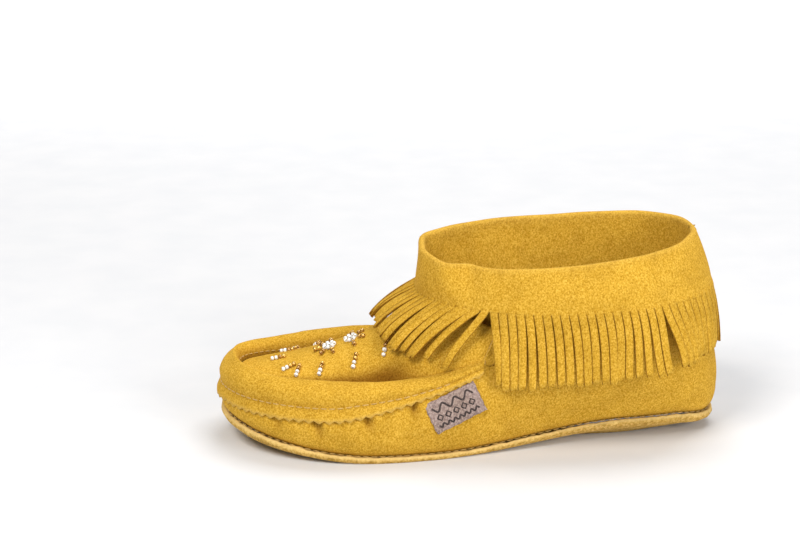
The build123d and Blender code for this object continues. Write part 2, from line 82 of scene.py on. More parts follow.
# ---- plan outlines: toe X, heel X, (outer, inner) half width at the ball and at the rear ----
BALL_AT = 0.30
HEEL_AT = 0.80
ROUNDNESS = 2.2
TOE_SWING = 3.0
CONTACT_PATCH = (-96.0, 98.0, (35.0, 34.0), (15.0, 15.0))
SOLE_TURN = (-110.5, 117.0, (42.0, 40.5), (23.0, 22.5))
SOLE_OUTLINE = (-122.0, 123.0, (46.0, 44.5), (27.0, 26.0))
FOOTBED_OUTLINE = (-115.5, 115.0, (41.0, 39.6), (23.8, 22.8))
PLUG_OUTLINE = (-112.0, 118.0, (27.5, 27.0), (31.0, 30.0))
WALL_LEVELS = (0.0, 0.2, 0.6, 1.0)
WALL_OUTLINES = (
    (-121.7, 122.7, (45.7, 44.2), (26.7, 25.7)),
    (-122.8, 124.8, (48.3, 46.8), (31.0, 30.0)),
    (-122.0, 120.5, (48.6, 47.0), (36.0, 34.0)),
    (-117.5, 115.5, (45.0, 42.5), (38.0, 36.0)),
)
WALL_PINCH = 3.5
WALL_PINCH_AT = (0.60, 0.10)
WALL_BELOW_CREST = (6.5, 2.8)
WALL_CLOSES = (0.30, 0.50)
WALL_HIDDEN_TOP = 73.5
WALL_HIDDEN_RISE = (0.50, 0.58)

# ---- rolled rim round the forefoot ----
RIM_CREST = 38.4
RIM_TOE_LIFT = 2.6
RIM_RISE = 38.0
RIM_RISE_SPAN = (0.30, 0.68)
PLUG_DROP = 6.0
BAND_STAND_OFF = 0.1
INNER_CREST = 2.8
INNER_CREST_AT = (0.27, 0.12)
BAND_EDGE = 22.5
BAND_EDGE_RISE = 17.0
BAND_EDGE_SPAN = (0.20, 0.48)
BAND_END_ANGLE = 88.0
STITCH_ABOVE_EDGE = 6.5
STITCH_SHARE = 0.45
TOOTH_PITCH = 5.0
TOOTH_DEPTH = 1.6
TOOTH_HANG = 1.8
TOOTH_FLARE = 0.12
GATHER_PITCH = 6.3
GATHER_DEPTH = 0.22

# ---- vamp plug ----
PLUG_RIDGE = ((-111.0, 36.0), (-105.0, 37.0), (-96.0, 38.3), (-83.0, 41.0), (-63.0, 47.0),
              (-43.0, 54.5), (-30.0, 62.5), (-20.0, 70.0), (-8.0, 78.0))
PLUG_FULL_FROM = -58.0
PLUG_FULL_AT = -31.0
PLUG_TUCK = 1.6
PLUG_MARGIN = 1.8
PLUG_FRONT = -113.3
PLUG_SPREAD = 9.5
PLUG_CLIMB = 4.4
PLUG_SPREADS = (-54.0, -14.0)
LINING_WIDTH = 0.84
LINING_DEPTH = 3.6
LINING_FRONT = -104.0

# ---- collar and cuff: centre X, half length, outer and inner half width, and heights ----
RIM_OVAL = (42.4, 68.4, 35.5, 37.9, (95.5, 3.5, -3.4, 1.7, -0.3))
ROOT_OVAL = (47.0, 73.6, 44.1, 42.5, (74.5, -0.8, -1.5, 1.5, -0.6))
TIP_OVAL = (54.0, 70.1, 49.2, 47.5, (43.8, 2.6, -3.1, 2.9, -1.3))
OVAL_ROUNDNESS = 2.3
CUFF_BULGE = 1.2
FRONT_ROOT_DROP = 4.0
FRONT_ROOT_SPAN = 32.0
WELL_CLEARANCE = 4.2
FACING_LEAN = 10.6
FACING_FOOT = ((0.0, 66.5), (15.0, 60.0), (30.0, 41.0), (45.0, 44.0), (60.0, 56.0), (75.0, 64.0),
               (90.0, 66.0))
LINING_BELOW_CREST = 10.5
LINING_TOP_LIMIT = 64.0

# ---- fringe ----
GROUPS_PER_SIDE = 6
STRANDS_PER_GROUP = 7
STRAND_WIDTH = 4.0
STRAND_THICKNESS = 1.3
ROOT_LEVEL = 0.09
STRAND_PROUD = 0.22
STRAND_SHADE = 0.9
FRONT_FAN = (119.5, 125.5)
FRONT_REACH = (-20.0, -14.5)
FRONT_REACH_BESIDE = (-24.0, -22.5)
FRONT_BESIDE_ANGLE = 40.0
SIDE_SWEEP = -4.0
CORNER_SPREAD = 3.0
CORNER_ANGLES = (62.0, 16.0)
CORNER_SWEEP = 3.5
PARTING_ANGLE = 58.0
PARTING_SHIFT = (7.5, 20.0)
PARTING_LIFT = (1.6, 12.0)
PARTING_CURL = (3.6, 6.0)

# ---- small pieces ----
LABEL_SIZE = (27.0, 16.0)
LABEL_PLACE = (95.1, 27.4)
LABEL_SLOPE = 23.0
LABEL_LIFT = 1.15
LABEL_THICKNESS = 0.8
PRINT_LIFT = 1.22
PRINT_THICKNESS = 0.12
BEAD_RADIUS = 1.05
BEAD_LENGTH = 1.6
BEAD_HOLE = (0.66, 0.38)
BEAD_PITCH = 1.9
BEAD_RAYS = ((-97.0, 0.0), (-92.0, 12.0), (-86.0, 17.5), (-75.0, 20.0), (-58.5, 20.5), (-43.5, 21.5))
RAY_TARGET = (-62.0, 0.0)
FLOWER_CENTRES = ((-69.0, -2.0), (-58.5, -2.0))
FLOWER_CORE_RINGS = ((0.0, 1), (2.5, 7))
PETALS = 7
PETAL_RADII = (4.9, 6.9)

# ---- meshes: metres between points that count as one, columns round the shoe and rim, wall rows ----
SAME_POINT = 0.00001
ROUND_COLUMNS = 320
RIM_COLUMNS = 680
WALL_ROWS = 40

dice = random.Random(11)


# ---------------------------------------------------------------- numbers

def smooth(value):
    value = min(1.0, max(0.0, value))
    return value * value * (3.0 - 2.0 * value)


def mix(low, high, share):
    return low + (high - low) * share


def span(value, limits):
    return max(0.0, (value - limits[0]) / (limits[1] - limits[0]))


def bell(value, middle, width):
    return math.exp(-((value - middle) / width) ** 2)


def ramp(value, table):
    """Height between the points of a table, by straight lines."""
    for (x0, z0), (x1, z1) in zip(table, table[1:]):
        if value <= x1:
            return mix(z0, z1, max(0.0, (value - x0) / (x1 - x0)))
    return table[-1][1]


def soft_ramp(value, table, reach=5.0):
    """The same table with its corners rounded over a distance."""
    steps = (-1.0, -0.5, 0.0, 0.5, 1.0)
    return sum(ramp(value + reach * step, table) for step in steps) / len(steps)


def curve_through(points, count):
    """Points along a smooth curve through the given ones."""
    found = []
    last = len(points) - 1
    for i in range(count):
        place = last * i / (count - 1)
        k = min(last - 1, int(place))
        u = place - k
        p1, p2 = Vector(points[k]), Vector(points[k + 1])
        p0 = Vector(points[k - 1]) if k > 0 else p1 * 2.0 - p2
        p3 = Vector(points[k + 2]) if k + 2 <= last else p2 * 2.0 - p1
        found.append(0.5 * (2.0 * p1 + (p2 - p0) * u + (2.0 * p0 - 5.0 * p1 + 4.0 * p2 - p3) * u * u
                            + (3.0 * p1 - p0 - 3.0 * p2 + p3) * u ** 3))
    return found


def waves(point, size, depth):
    """Smooth uneven height at a point, about as wide as size and up to depth either way."""
    return depth * noise.noise(Vector(point) / size)


# ---------------------------------------------------------------- the shoe's surfaces, in millimetres

def share_at(angle):
    """Share of the shoe's length at an angle: 0 at the toe and 1 at the heel."""
    return (1.0 + math.cos(math.radians(angle))) / 2.0


def sole_height(t):
    toe = max(0.0, (0.30 - t) / 0.30) ** 1.7
    heel = smooth((t - 0.42) / 0.42)
    return TOE_SPRING * toe + HEEL_LIFT * heel * (1.0 - 0.4 * smooth((t - 0.9) / 0.1))


def seam_height(t):
    return sole_height(t) + SOLE_EDGE + SOLE_EDGE_ENDS * (2.0 * t - 1.0) ** 2


def toe_lift(t):
    return RIM_TOE_LIFT * max(0.0, 1.0 - t / 0.15) ** 2


def crest_height(t):
    rise = min(1.0, span(t, RIM_RISE_SPAN)) ** 2.2
    return RIM_CREST + toe_lift(t) + RIM_RISE * rise


def wall_top(t):
    return crest_height(t) - mix(WALL_BELOW_CREST[0], WALL_BELOW_CREST[1], smooth(span(t, WALL_CLOSES)))


def hidden_top(t):
    """The wall's top edge with its rise to the cuff's foot behind the fringe."""
    top = wall_top(t)
    return max(top, mix(top, WALL_HIDDEN_TOP, smooth(span(t, WALL_HIDDEN_RISE))))


def band_edge_height(t):
    return BAND_EDGE + BAND_EDGE_RISE * span(t, BAND_EDGE_SPAN) ** 1.5


def stitch_height(t):
    edge = band_edge_height(t)
    return edge + min(STITCH_ABOVE_EDGE, STITCH_SHARE * (crest_height(t) - edge))


def half_width(t, ball, rear):
    if t < BALL_AT:
        reach = (BALL_AT - t) / BALL_AT
    else:
        reach = max(0.0, (t - HEEL_AT) / (1.0 - HEEL_AT))
    end = max(0.0, 1.0 - reach ** ROUNDNESS) ** (1.0 / ROUNDNESS)
    return end * mix(ball, rear, smooth((t - BALL_AT) / (HEEL_AT - BALL_AT)))


def outline_point(shape, angle, height):
    """Point of a plan outline at an angle: 0 at the heel, 90 on the outer side, 180 at the toe."""
    toe, heel, ball, rear = shape
    t = share_at(angle)
    outer = math.sin(math.radians(angle)) >= 0.0
    side, sign = (0, -1.0) if outer else (1, 1.0)
    y = sign * half_width(t, ball[side], rear[side]) + TOE_SWING * max(0.0, 1.0 - t / BALL_AT) ** 2
    z = height(t) if callable(height) else height
    return Vector((mix(toe, heel, t), y, z))


def oval_point(oval, angle):
    centre, half_length, outer, inner, (mean, fore, side, pinch, third) = oval
    turn = math.radians(angle)
    c, s = math.cos(turn), math.sin(turn)
    power = 2.0 / OVAL_ROUNDNESS
    x = centre + half_length * math.copysign(abs(c) ** power, c)
    y = (-outer if s > 0.0 else inner) * abs(s) ** power
    z = mean + fore * c + side * s + pinch * math.cos(2.0 * turn) + third * math.cos(3.0 * turn)
    return Vector((x, y, z))


def inset(ring, distance):
    """A closed ring moved towards its inside, level."""
    moved = []
    for i, point in enumerate(ring):
        ahead = ring[(i + 1) % len(ring)] - ring[i - 1]
        length = math.hypot(ahead.x, ahead.y) or 1.0
        moved.append(point + Vector((ahead.y, -ahead.x, 0.0)) * (distance / length))
    return moved


def columns(count=ROUND_COLUMNS):
    return [360.0 * i / count for i in range(count)]


def wall_shape(level):
    """Plan outline of the side wall at a level, between the given ones."""
    def part(pick):
        total = 0.0
        for i, own in enumerate(WALL_LEVELS):
            weight = 1.0
            for j, other in enumerate(WALL_LEVELS):
                if j != i:
                    weight *= (level - other) / (own - other)
            total += weight * pick(WALL_OUTLINES[i])
        return total
    ball = (part(lambda s: s[2][0]), part(lambda s: s[2][1]))
    rear = (part(lambda s: s[3][0]), part(lambda s: s[3][1]))
    return (part(lambda s: s[0]), part(lambda s: s[1]), ball, rear)


def wall_point(level, angle, height):
    """Point of the wall's outer face, which draws in at its top where the collar begins."""
    point = outline_point(wall_shape(level), angle, height)
    pinch = WALL_PINCH * level * level * bell(share_at(angle), *WALL_PINCH_AT)
    point.y -= math.copysign(min(pinch, abs(point.y)), point.y)
    return point


def wall_point_at(angle, z):
    t = share_at(angle)
    low = seam_height(t) + SEAM_GAP
    return wall_point(min(1.0, (z - low) / (wall_top(t) - low)), angle, z)


def wall_under(x, z):
    """Point of the outer wall at an X and a height."""
    low, high = 20.0, 160.0
    for _ in range(24):
        middle = (low + high) / 2.0
        if wall_point_at(middle, z).x > x:
            low = middle
        else:
            high = middle
    return wall_point_at(low, z)


def rim_frame(angle):
    """Share along the shoe, plug seam point, level way from it to the wall, and how far that is by height."""
    t = share_at(angle)
    seam = outline_point(PLUG_OUTLINE, angle, crest_height(t) - PLUG_DROP)
    top = wall_point_at(angle, wall_top(t))
    out = Vector((top.x - seam.x, top.y - seam.y, 0.0)).normalized()

    def reach(z):
        return (wall_point_at(angle, min(z, wall_top(t))) - seam).dot(out)
    return t, seam, out, reach


def plug_share(x):
    return (x - PLUG_OUTLINE[0]) / (PLUG_OUTLINE[1] - PLUG_OUTLINE[0])


def plug_middle(t):
    return TOE_SWING * max(0.0, 1.0 - t / BALL_AT) ** 2


def plug_half(t, side):
    return half_width(t, PLUG_OUTLINE[2][side], PLUG_OUTLINE[3][side])


def plug_width(x, side):
    """Half width of the plug at an X, wider where the rim flattens out beside it."""
    width = max(0.2, plug_half(max(0.0005, plug_share(x)), side))
    return width + PLUG_MARGIN + PLUG_SPREAD * smooth(span(x, PLUG_SPREADS))


def plug_point(x, v, sink=0.0):
    """Point of the plug at an X and a share v of its half width, -1 on the outer side."""
    t = max(0.0005, plug_share(x))
    width = plug_width(x, 0 if v < 0.0 else 1)
    low = crest_height(t) - PLUG_DROP + PLUG_CLIMB * smooth(span(x, PLUG_SPREADS))
    fullness = mix(1.0, 0.5, smooth((x - PLUG_FULL_FROM) / (PLUG_FULL_AT - PLUG_FULL_FROM)))
    dome = max(0.0, 1.0 - v * v) ** fullness
    z = low + (soft_ramp(x, PLUG_RIDGE) - low) * dome - sink
    return Vector((x, plug_middle(t) + v * width, z))


def plug_surface(x, y):
    """Point of the plug's top at X and Y, and the direction out of it."""
    def height(px, py):
        offset = py - plug_middle(plug_share(px))
        v = offset / plug_width(px, 0 if offset < 0.0 else 1)
        return plug_point(px, max(-0.98, min(0.98, v))).z
    z = height(x, y)
    slope_x, slope_y = height(x + 1.0, y) - z, height(x, y + 1.0) - z
    return Vector((x, y, z)), Vector((-slope_x, -slope_y, 1.0)).normalized()


def cuff_wave(angle, level):
    """How far the cuff's folds stand out at an angle, most at the rim and none at the fringe roots."""
    turn = math.radians(angle)
    slow = 0.7 * math.sin(3.0 * turn + 0.8)
    ripple = slow + 0.5 * math.sin(7.0 * turn + 2.1) + 0.25 * math.sin(13.0 * turn)
    pinch = 1.6 * bell(angle, 143.0, 7.0) - 3.0 * bell(angle, 131.0, 6.0)
    return (ripple + pinch) * smooth(level) + 0.5 * math.sin(5.0 * turn + 1.0) * math.sin(math.pi * level)


def cuff_point(level, angle):
    """Point of the cuff's outer face, from the fringe roots (0) to the fold at the rim (1)."""
    root, rim = oval_point(ROOT_OVAL, angle), oval_point(RIM_OVAL, angle)
    root.z -= FRONT_ROOT_DROP * bell(angle, 180.0, FRONT_ROOT_SPAN)
    point = root.lerp(rim, level)
    point.y *= 1.0 + CUFF_BULGE / 45.0 * math.sin(math.pi * level)
    return point


def cuff_ring(level, depth=0.0, count=ROUND_COLUMNS):
    ring = inset([cuff_point(level, angle) for angle in columns(count)], depth)
    waved = []
    for angle, point, inner in zip(columns(count), ring, inset(ring, 1.0)):
        waved.append(point + (point - inner) * cuff_wave(angle, level))
    return waved


def facing_ring(share, depth):
    """Ring of the collar facing, from its lower edge (0) to the rim (1)."""
    base = inset([oval_point(ROOT_OVAL, angle) for angle in columns()], FACING_LEAN + depth)
    top = cuff_ring(1.0, SUEDE + GAP + depth)
    plan = smooth(share) ** 0.8
    ring = []
    for angle, upper, lower in zip(columns(), top, base):
        foot = soft_ramp(abs(angle - 180.0), FACING_FOOT, 8.0)
        across = mix(lower.y, upper.y, plan)
        ring.append(Vector((mix(lower.x, upper.x, plan), across, mix(foot, upper.z, share))))
    return ring


# ---------------------------------------------------------------- meshes

def finish_piece(name, mesh, materials, body=SHOE, replaces=()):
    """Object for a mesh, with its materials, its body and the CAD nodes that it stands for."""
    made = bpy.data.objects.new(name, mesh)
    bpy.context.scene.collection.objects.link(made)
    for material in materials:
        mesh.materials.append(material)
    if body:
        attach(made, body)
    if replaces:
        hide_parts(*replaces)
    return made


def mesh_from(name, points, faces, edges=None, painted_shades=None):
    """Smooth mesh through points in millimetres; edges is 1 on a cut edge, and the last list is 1 where shade
    is painted darkest.
    """
    mesh = bpy.data.meshes.new(name)
    mesh.from_pydata([tuple(Vector(p) * MM) for p in points], [], faces)
    mesh.shade_smooth()
    for attribute, values in (("cut_edge", edges), ("painted_shade", painted_shades)):
        stored = mesh.attributes.new(attribute, "FLOAT", "POINT")
        stored.data.foreach_set("value", values or [0.0] * len(points))
    mesh.update()
    return mesh


def grid_faces(rows, count, ring, loop=False, start=0):
    """Quads between rows of points. ring closes each row, loop joins the last row to the first."""
    faces = []
    for r in range(rows if loop else rows - 1):
        this, following = start + r * count, start + (r + 1) % rows * count
        for c in range(count if ring else count - 1):
            d = (c + 1) % count
            faces.append((this + c, following + c, following + d, this + d))
    return faces


def flattened(rows):
    return [value for row in rows for value in row] if rows else None


def grid(name, rows, ring=True, loop=False, edges=None, painted_shades=None):
    faces = grid_faces(len(rows), len(rows[0]), ring, loop)
    return mesh_from(name, flattened(rows), faces, flattened(edges), flattened(painted_shades))


def thicken(made, thickness, offset=-1.0):
    """Gives a sheet its thickness, towards its inside. Its cut rim uses its second material."""
    solid = made.modifiers.new("thickness", "SOLIDIFY")
    solid.thickness = thickness * MM
    solid.offset = offset
    solid.use_even_offset = True
    solid.material_offset_rim = 1 if len(made.data.materials) > 1 else 0
    return made


# Sections across a strip, as shares of half its width and thickness.
STRAP = ((1.0, -0.5), (1.0, 0.5), (0.86, 1.0), (-0.86, 1.0),
         (-1.0, 0.5), (-1.0, -0.5), (-0.86, -1.0), (0.86, -1.0))
PIPING = ((1.0, -0.3), (1.0, 0.3), (0.6, 0.85), (0.0, 1.0),
          (-0.6, 0.85), (-1.0, 0.3), (-1.0, -0.3), (0.0, -1.0))


def tube_rows(line, across_at, width_at, thickness, section):
    """Rows of points round a strip that follows a line, and rows of 1 where a point is on its side."""
    rows, sides = [], []
    for i, point in enumerate(line):
        before, after = line[max(0, i - 1)], line[min(len(line) - 1, i + 1)]
        ahead = (after - before).normalized()
        across = across_at(i, ahead)
        face = ahead.cross(across).normalized()
        half, deep = width_at(i) / 2.0, thickness / 2.0
        rows.append([point + across * (half * x) + face * (deep * y) for x, y in section])
        sides.append([float(abs(x) > 0.99) for x, y in section])
    return rows, sides


def tube_parts(rows, start):
    """Faces of a closed strip through rows of points, with its two ends."""
    count = len(rows[0])
    faces = grid_faces(len(rows), count, True, start=start)
    faces.append(tuple(start + c for c in range(count)))
    faces.append(tuple(start + (len(rows) - 1) * count + c for c in reversed(range(count))))
    return faces


def recalculate(mesh, join=0.0):
    """Turns every face of a closed mesh outwards, after joining points that are nearer than join metres."""
    work = bmesh.new()
    work.from_mesh(mesh)
    if join:
        bmesh.ops.remove_doubles(work, verts=work.verts, dist=join)
    bmesh.ops.recalc_face_normals(work, faces=work.faces)
    work.to_mesh(mesh)
    work.free()
    return mesh


def facing(mesh, direction):
    """Turns the faces of an open sheet so that most look along a direction."""
    if sum(face.normal.dot(direction) * face.area for face in mesh.polygons) < 0.0:
        mesh.flip_normals()
    return mesh


def along(points):
    """Function giving the point at a distance along a row of points, and the row's length."""
    steps = [(b - a).length for a, b in zip(points, points[1:])]

    def at(distance):
        left = distance
        for a, b, step in zip(points, points[1:], steps):
            if left <= step:
                return a.lerp(b, left / step)
            left -= step
        return points[-1]
    return at, sum(steps)


# ---------------------------------------------------------------- materials

# Dark brown that painted shade multiplies into the suede's colour.
PAINTED_SHADE_TONE = (0.40, 0.30, 0.16)
NAP_STRETCH = (1.0, 1.0, 0.8)
WHITE = (1.0, 1.0, 1.0)
WARM_WHITE = (1.0, 0.985, 0.96)


def node(tree, kind, **settings):
    made = tree.nodes.new(kind)
    for key, value in settings.items():
        setattr(made, key, value)
    return made


def principled(name, **values):
    """Material with its shader's own sockets set by name, an underscore standing for a space."""
    material = bpy.data.materials.new(name)
    material.use_nodes = True
    tree = material.node_tree
    shader = tree.nodes["Principled BSDF"]
    for socket, value in values.items():
        shader.inputs[socket.replace("_", " ")].default_value = value
    return material, tree, shader


def noise_node(tree, scale, detail=3.0, roughness=0.6, stretch=None):
    """Noise in the shoe's own frame, with features about 1/scale metres wide."""
    where = node(tree, "ShaderNodeTexCoord").outputs["Object"]
    if stretch:
        mapping = node(tree, "ShaderNodeMapping")
        mapping.inputs["Scale"].default_value = stretch
        tree.links.new(where, mapping.inputs["Vector"])
        where = mapping.outputs["Vector"]
    made = node(tree, "ShaderNodeTexNoise")
    made.inputs["Scale"].default_value = scale
    made.inputs["Detail"].default_value = detail
    made.inputs["Roughness"].default_value = roughness
    tree.links.new(where, made.inputs["Vector"])
    return made.outputs["Fac"]


def colour_ramp(tree, source, *stops):
    made = node(tree, "ShaderNodeValToRGB")
    elements = made.color_ramp.elements
    while len(elements) < len(stops):
        elements.new(0.5)
    for element, (position, colour) in zip(elements, stops):
        element.position = position
        element.color = (*colour, 1.0)
    tree.links.new(source, made.inputs["Fac"])
    return made.outputs["Color"]


def mixed(tree, blend, factor, first, second):
    """Colour mix of two sockets or colours; factor is a number or a socket."""
    made = node(tree, "ShaderNodeMix", data_type="RGBA", blend_type=blend)
    for socket, value in ((made.inputs[0], factor), (made.inputs[6], first), (made.inputs[7], second)):
        if isinstance(value, bpy.types.NodeSocket):
            tree.links.new(value, socket)
        else:
            socket.default_value = value if isinstance(value, float) else (*value, 1.0)
    return made.outputs[2]


def bumps(tree, shader, *layers):
    """Chains bump layers of (height socket, strength, depth in millimetres) into the shader's normal."""
    last = None
    for height, strength, depth in layers:
        bump = node(tree, "ShaderNodeBump")
        bump.inputs["Strength"].default_value = strength
        bump.inputs["Distance"].default_value = depth * MM
        tree.links.new(height, bump.inputs["Height"])
        if last:
            tree.links.new(last, bump.inputs["Normal"])
        last = bump.outputs["Normal"]
    tree.links.new(last, shader.inputs["Normal"])


def suede(name, dark, middle, light, cut, nap=1300.0, patch=0.30):
    """Brushed suede: a fine nap, cloudy patches where the nap lies differently, paler cut edges, and painted
    shade where a mesh asks for it.
    """
    material, tree, shader = principled(name, Specular_IOR_Level=0.12, Sheen_Weight=0.28,
                                        Sheen_Roughness=0.45, Sheen_Tint=(*light, 1.0))
    fine = noise_node(tree, nap, 4.0, 0.75, NAP_STRETCH)
    cloud = noise_node(tree, 85.0, 4.0, 0.62)
    broad = noise_node(tree, 22.0, 2.0, 0.5)
    base = colour_ramp(tree, fine, (0.38, dark), (0.50, middle), (0.62, light))
    shade = colour_ramp(tree, cloud, (0.30, (0.80, 0.78, 0.70)), (0.52, WHITE), (0.72, (1.08, 1.09, 1.16)))
    tone = colour_ramp(tree, broad, (0.32, (0.88, 0.86, 0.80)), (0.68, (1.05, 1.05, 1.10)))
    colour = mixed(tree, "MULTIPLY", patch * 2.0, base, shade)
    colour = mixed(tree, "MULTIPLY", patch * 1.6, colour, tone)
    worn = node(tree, "ShaderNodeAttribute", attribute_name="cut_edge")
    colour = mixed(tree, "MIX", worn.outputs["Fac"], colour, cut)
    # Painted shade: the colour is multiplied towards a dark brown by the mesh's painted-shade values. This
    # stands in for shade in creases, seams and slits.
    sunk = node(tree, "ShaderNodeAttribute", attribute_name="painted_shade")
    colour = mixed(tree, "MULTIPLY", sunk.outputs["Fac"], colour, PAINTED_SHADE_TONE)
    tree.links.new(colour, shader.inputs["Base Color"])
    rough = node(tree, "ShaderNodeMapRange")
    rough.inputs["To Min"].default_value = 0.86
    rough.inputs["To Max"].default_value = 1.0
    tree.links.new(fine, rough.inputs["Value"])
    tree.links.new(rough.outputs["Result"], shader.inputs["Roughness"])
    bumps(tree, shader, (cloud, 0.35, 0.9), (fine, 0.55, 0.35))
    return material


def fleece_material():
    """White pile: soft clumps of fibre, with shade painted greyer into the hollows between them."""
    material, tree, shader = principled("fleece_pile", Roughness=0.95, Specular_IOR_Level=0.1,
                                        Sheen_Weight=0.5, Sheen_Roughness=0.5)
    fibre = noise_node(tree, 900.0, 5.0, 0.8)
    clump = noise_node(tree, 260.0, 4.0, 0.65)
    cloud = noise_node(tree, 45.0, 2.0, 0.5)
    # Painted shade: the colour greys where the clump noise is low, the same noise that sinks the bump into
    # hollows.
    base = colour_ramp(tree, clump, (0.30, (0.80, 0.82, 0.86)), (0.48, (0.90, 0.91, 0.94)),
                       (0.66, (0.96, 0.965, 0.975)))
    shade = colour_ramp(tree, cloud, (0.35, (0.90, 0.92, 0.97)), (0.65, WHITE))
    tree.links.new(mixed(tree, "MULTIPLY", 0.8, base, shade), shader.inputs["Base Color"])
    bumps(tree, shader, (clump, 0.9, 1.6), (fibre, 0.7, 0.5))
    return material


def foam_material():
    """Closed-cell foam: a pale body with small round cells, with shade painted darker into each cell's sunk
    middle.
    """
    material, tree, shader = principled("midsole_foam_cells", Roughness=0.85)
    cells = node(tree, "ShaderNodeTexVoronoi")
    cells.inputs["Scale"].default_value = 900.0
    tree.links.new(node(tree, "ShaderNodeTexCoord").outputs["Object"], cells.inputs["Vector"])
    # Painted shade: darker near each cell's middle, where the bump sinks it into a pit.
    base = colour_ramp(tree, cells.outputs["Distance"], (0.1, (0.62, 0.60, 0.53)), (0.6, (0.82, 0.80, 0.74)))
    tree.links.new(base, shader.inputs["Base Color"])
    bumps(tree, shader, (cells.outputs["Distance"], 0.5, 0.4))
    return material


def speckled(name, grain, stops, bump=None, **values):
    """Material with one noise for its colour and bump: grain is the noise's scale, detail and roughness."""
    material, tree, shader = principled(name, **values)
    speckle = noise_node(tree, *grain)
    tree.links.new(colour_ramp(tree, speckle, *stops), shader.inputs["Base Color"])
    if bump:
        bumps(tree, shader, (speckle, *bump))
    return material


def thread_material():
    """Golden sewing thread with its twist."""
    tones = ((0.35, (0.42, 0.24, 0.04)), (0.65, (0.64, 0.42, 0.10)))
    return speckled("golden_thread", (1500.0, 2.0, 0.6), tones, (0.6, 0.2), Roughness=0.6, Sheen_Weight=0.4)


def glass_beads(name, dark, light, metallic, roughness):
    """Seed beads: each a little different, with a glossy coat."""
    return speckled(name, (420.0, 1.0, 0.5), ((0.35, dark), (0.65, light)), (0.15, 0.1), Metallic=metallic,
                    Roughness=roughness, Coat_Weight=0.8, Coat_Roughness=0.06)


def print_material():
    """Dark ink sunk into the label's nap."""
    tones = ((0.35, (0.022, 0.014, 0.012)), (0.70, (0.075, 0.052, 0.046)))
    return speckled("label_ink", (1100.0, 3.0, 0.7), tones, (0.5, 0.2), Roughness=0.85)


def floor_material():
    tones = ((0.3, (0.69, 0.695, 0.71)), (0.7, (0.72, 0.72, 0.73)))
    return speckled("studio_floor", (30.0, 2.0, 0.5), tones, Roughness=0.7, Specular_IOR_Level=0.1)


# ---------------------------------------------------------------- sole and lower parts

def edge_fuzz(point, depth=0.35):
    return waves(point, 3.0, depth) + waves(point, 1.3, depth * 0.5)


def filled_rings(outer_rings, steps=8):
    """Rings from the middle line out to the first ring, followed by the other rings."""
    first = outer_rings[0]
    rings = []
    for i in range(steps):
        share = i / steps
        middle = [Vector((p.x * (0.82 + 0.18 * share), p.y * share, p.z)) for p in first]
        rings.append(middle)
    return rings + outer_rings


def sole_leather(material, cut):
    """The suede sole: it wraps up round the shoe to a rough lip below the wall."""
    angles = columns()
    contact = [outline_point(CONTACT_PATCH, a, 0.0) for a in angles]
    turn = [outline_point(SOLE_TURN, a, lambda t: mix(0.20, 0.72, t) * sole_height(t)) for a in angles]
    edge = [outline_point(SOLE_OUTLINE, a, sole_height) for a in angles]
    lip = [outline_point(SOLE_OUTLINE, a, seam_height) for a in angles]
    middle = [low.lerp(high, 0.5) for low, high in zip(edge, lip)]
    bulged = inset(middle, -0.7)
    lip = [p + UP * edge_fuzz(p) for p in inset(lip, -0.35)]
    inner_lip = [p + UP * edge_fuzz(p) for p in inset(lip, SUEDE * 0.9)]
    inner_turn = [outline_point(SOLE_TURN, a, lambda t: SOLE_THICKNESS + 0.4 * sole_height(t))
                  for a in angles]
    inner = inset([outline_point(CONTACT_PATCH, a, SOLE_THICKNESS) for a in angles], 0.4)
    soft_turn = [low.lerp(high, 0.55) - UP * 0.5 for low, high in zip(turn, edge)]
    soft_turn = [Vector((p.x, p.y, max(0.1, p.z))) for p in soft_turn]
    rings = filled_rings([contact, turn, soft_turn, inset(edge, 0.3), bulged, lip, inner_lip, inner_turn])
    top = filled_rings([inner])
    rings += top[::-1]
    edges = [[0.8 if ring in (lip, inner_lip) else 0.0] * len(angles) for ring in rings]
    mesh = recalculate(grid("sole_leather", rings, edges=edges), SAME_POINT)
    return finish_piece("sole_leather", mesh, [material, cut], replaces=["outsole"])


def fleece_insole(material):
    """The footbed's pile, crowned and lumpy where the foot treads."""
    angles = columns(220)
    outline = [outline_point(FOOTBED_OUTLINE, a, 0.0) for a in angles]

    def ring(depth, z):
        return [Vector((p.x, p.y, z)) for p in inset(outline, depth)]
    bottom = ring(1.2, FOAM_TOP + GAP)
    sides = [ring(0.0, FOAM_TOP + 2.0), ring(0.0, FOOTBED_TOP - 2.0), ring(0.8, FOOTBED_TOP - 0.6)]
    top = filled_rings([ring(2.2, FOOTBED_TOP)], 22)
    rows = filled_rings([bottom], 6) + sides + top[::-1]
    for row in rows[len(rows) - len(top):]:
        for point in row:
            point.z += waves(point, 5.0, 0.7) + waves(point, 2.0, 0.35) - 0.4
    mesh = recalculate(grid("fleece_insole", rows), SAME_POINT)
    made = finish_piece("fleece_insole", mesh, [material], replaces=["fleece_footbed"])
    return made


PUCKER_DEPTH = 2.6
OUTER_PUCKERS = ((-97.0, 0.35), (-78.0, 0.9), (-54.0, 1.0), (-32.0, 1.1))
INNER_PUCKERS = ((-92.0, 0.5), (-70.0, 0.9), (-50.0, 0.7), (-31.0, 1.0))


def pucker(x, side, below):
    """How far the gathered wall dents in at an X, a depth below the band's edge."""
    dent = 0.0
    for place, strong in OUTER_PUCKERS if side < 0 else INNER_PUCKERS:
        lean = place + 0.25 * below
        beside = 0.45 * bell(x, lean + 4.0, 3.0) + 0.25 * bell(x, lean - 4.0, 3.0)
        dent += strong * (bell(x, lean, 2.2) - beside)
    return PUCKER_DEPTH * dent * smooth(1.0 - below / 12.0) * smooth((below + 9.0) / 8.0)


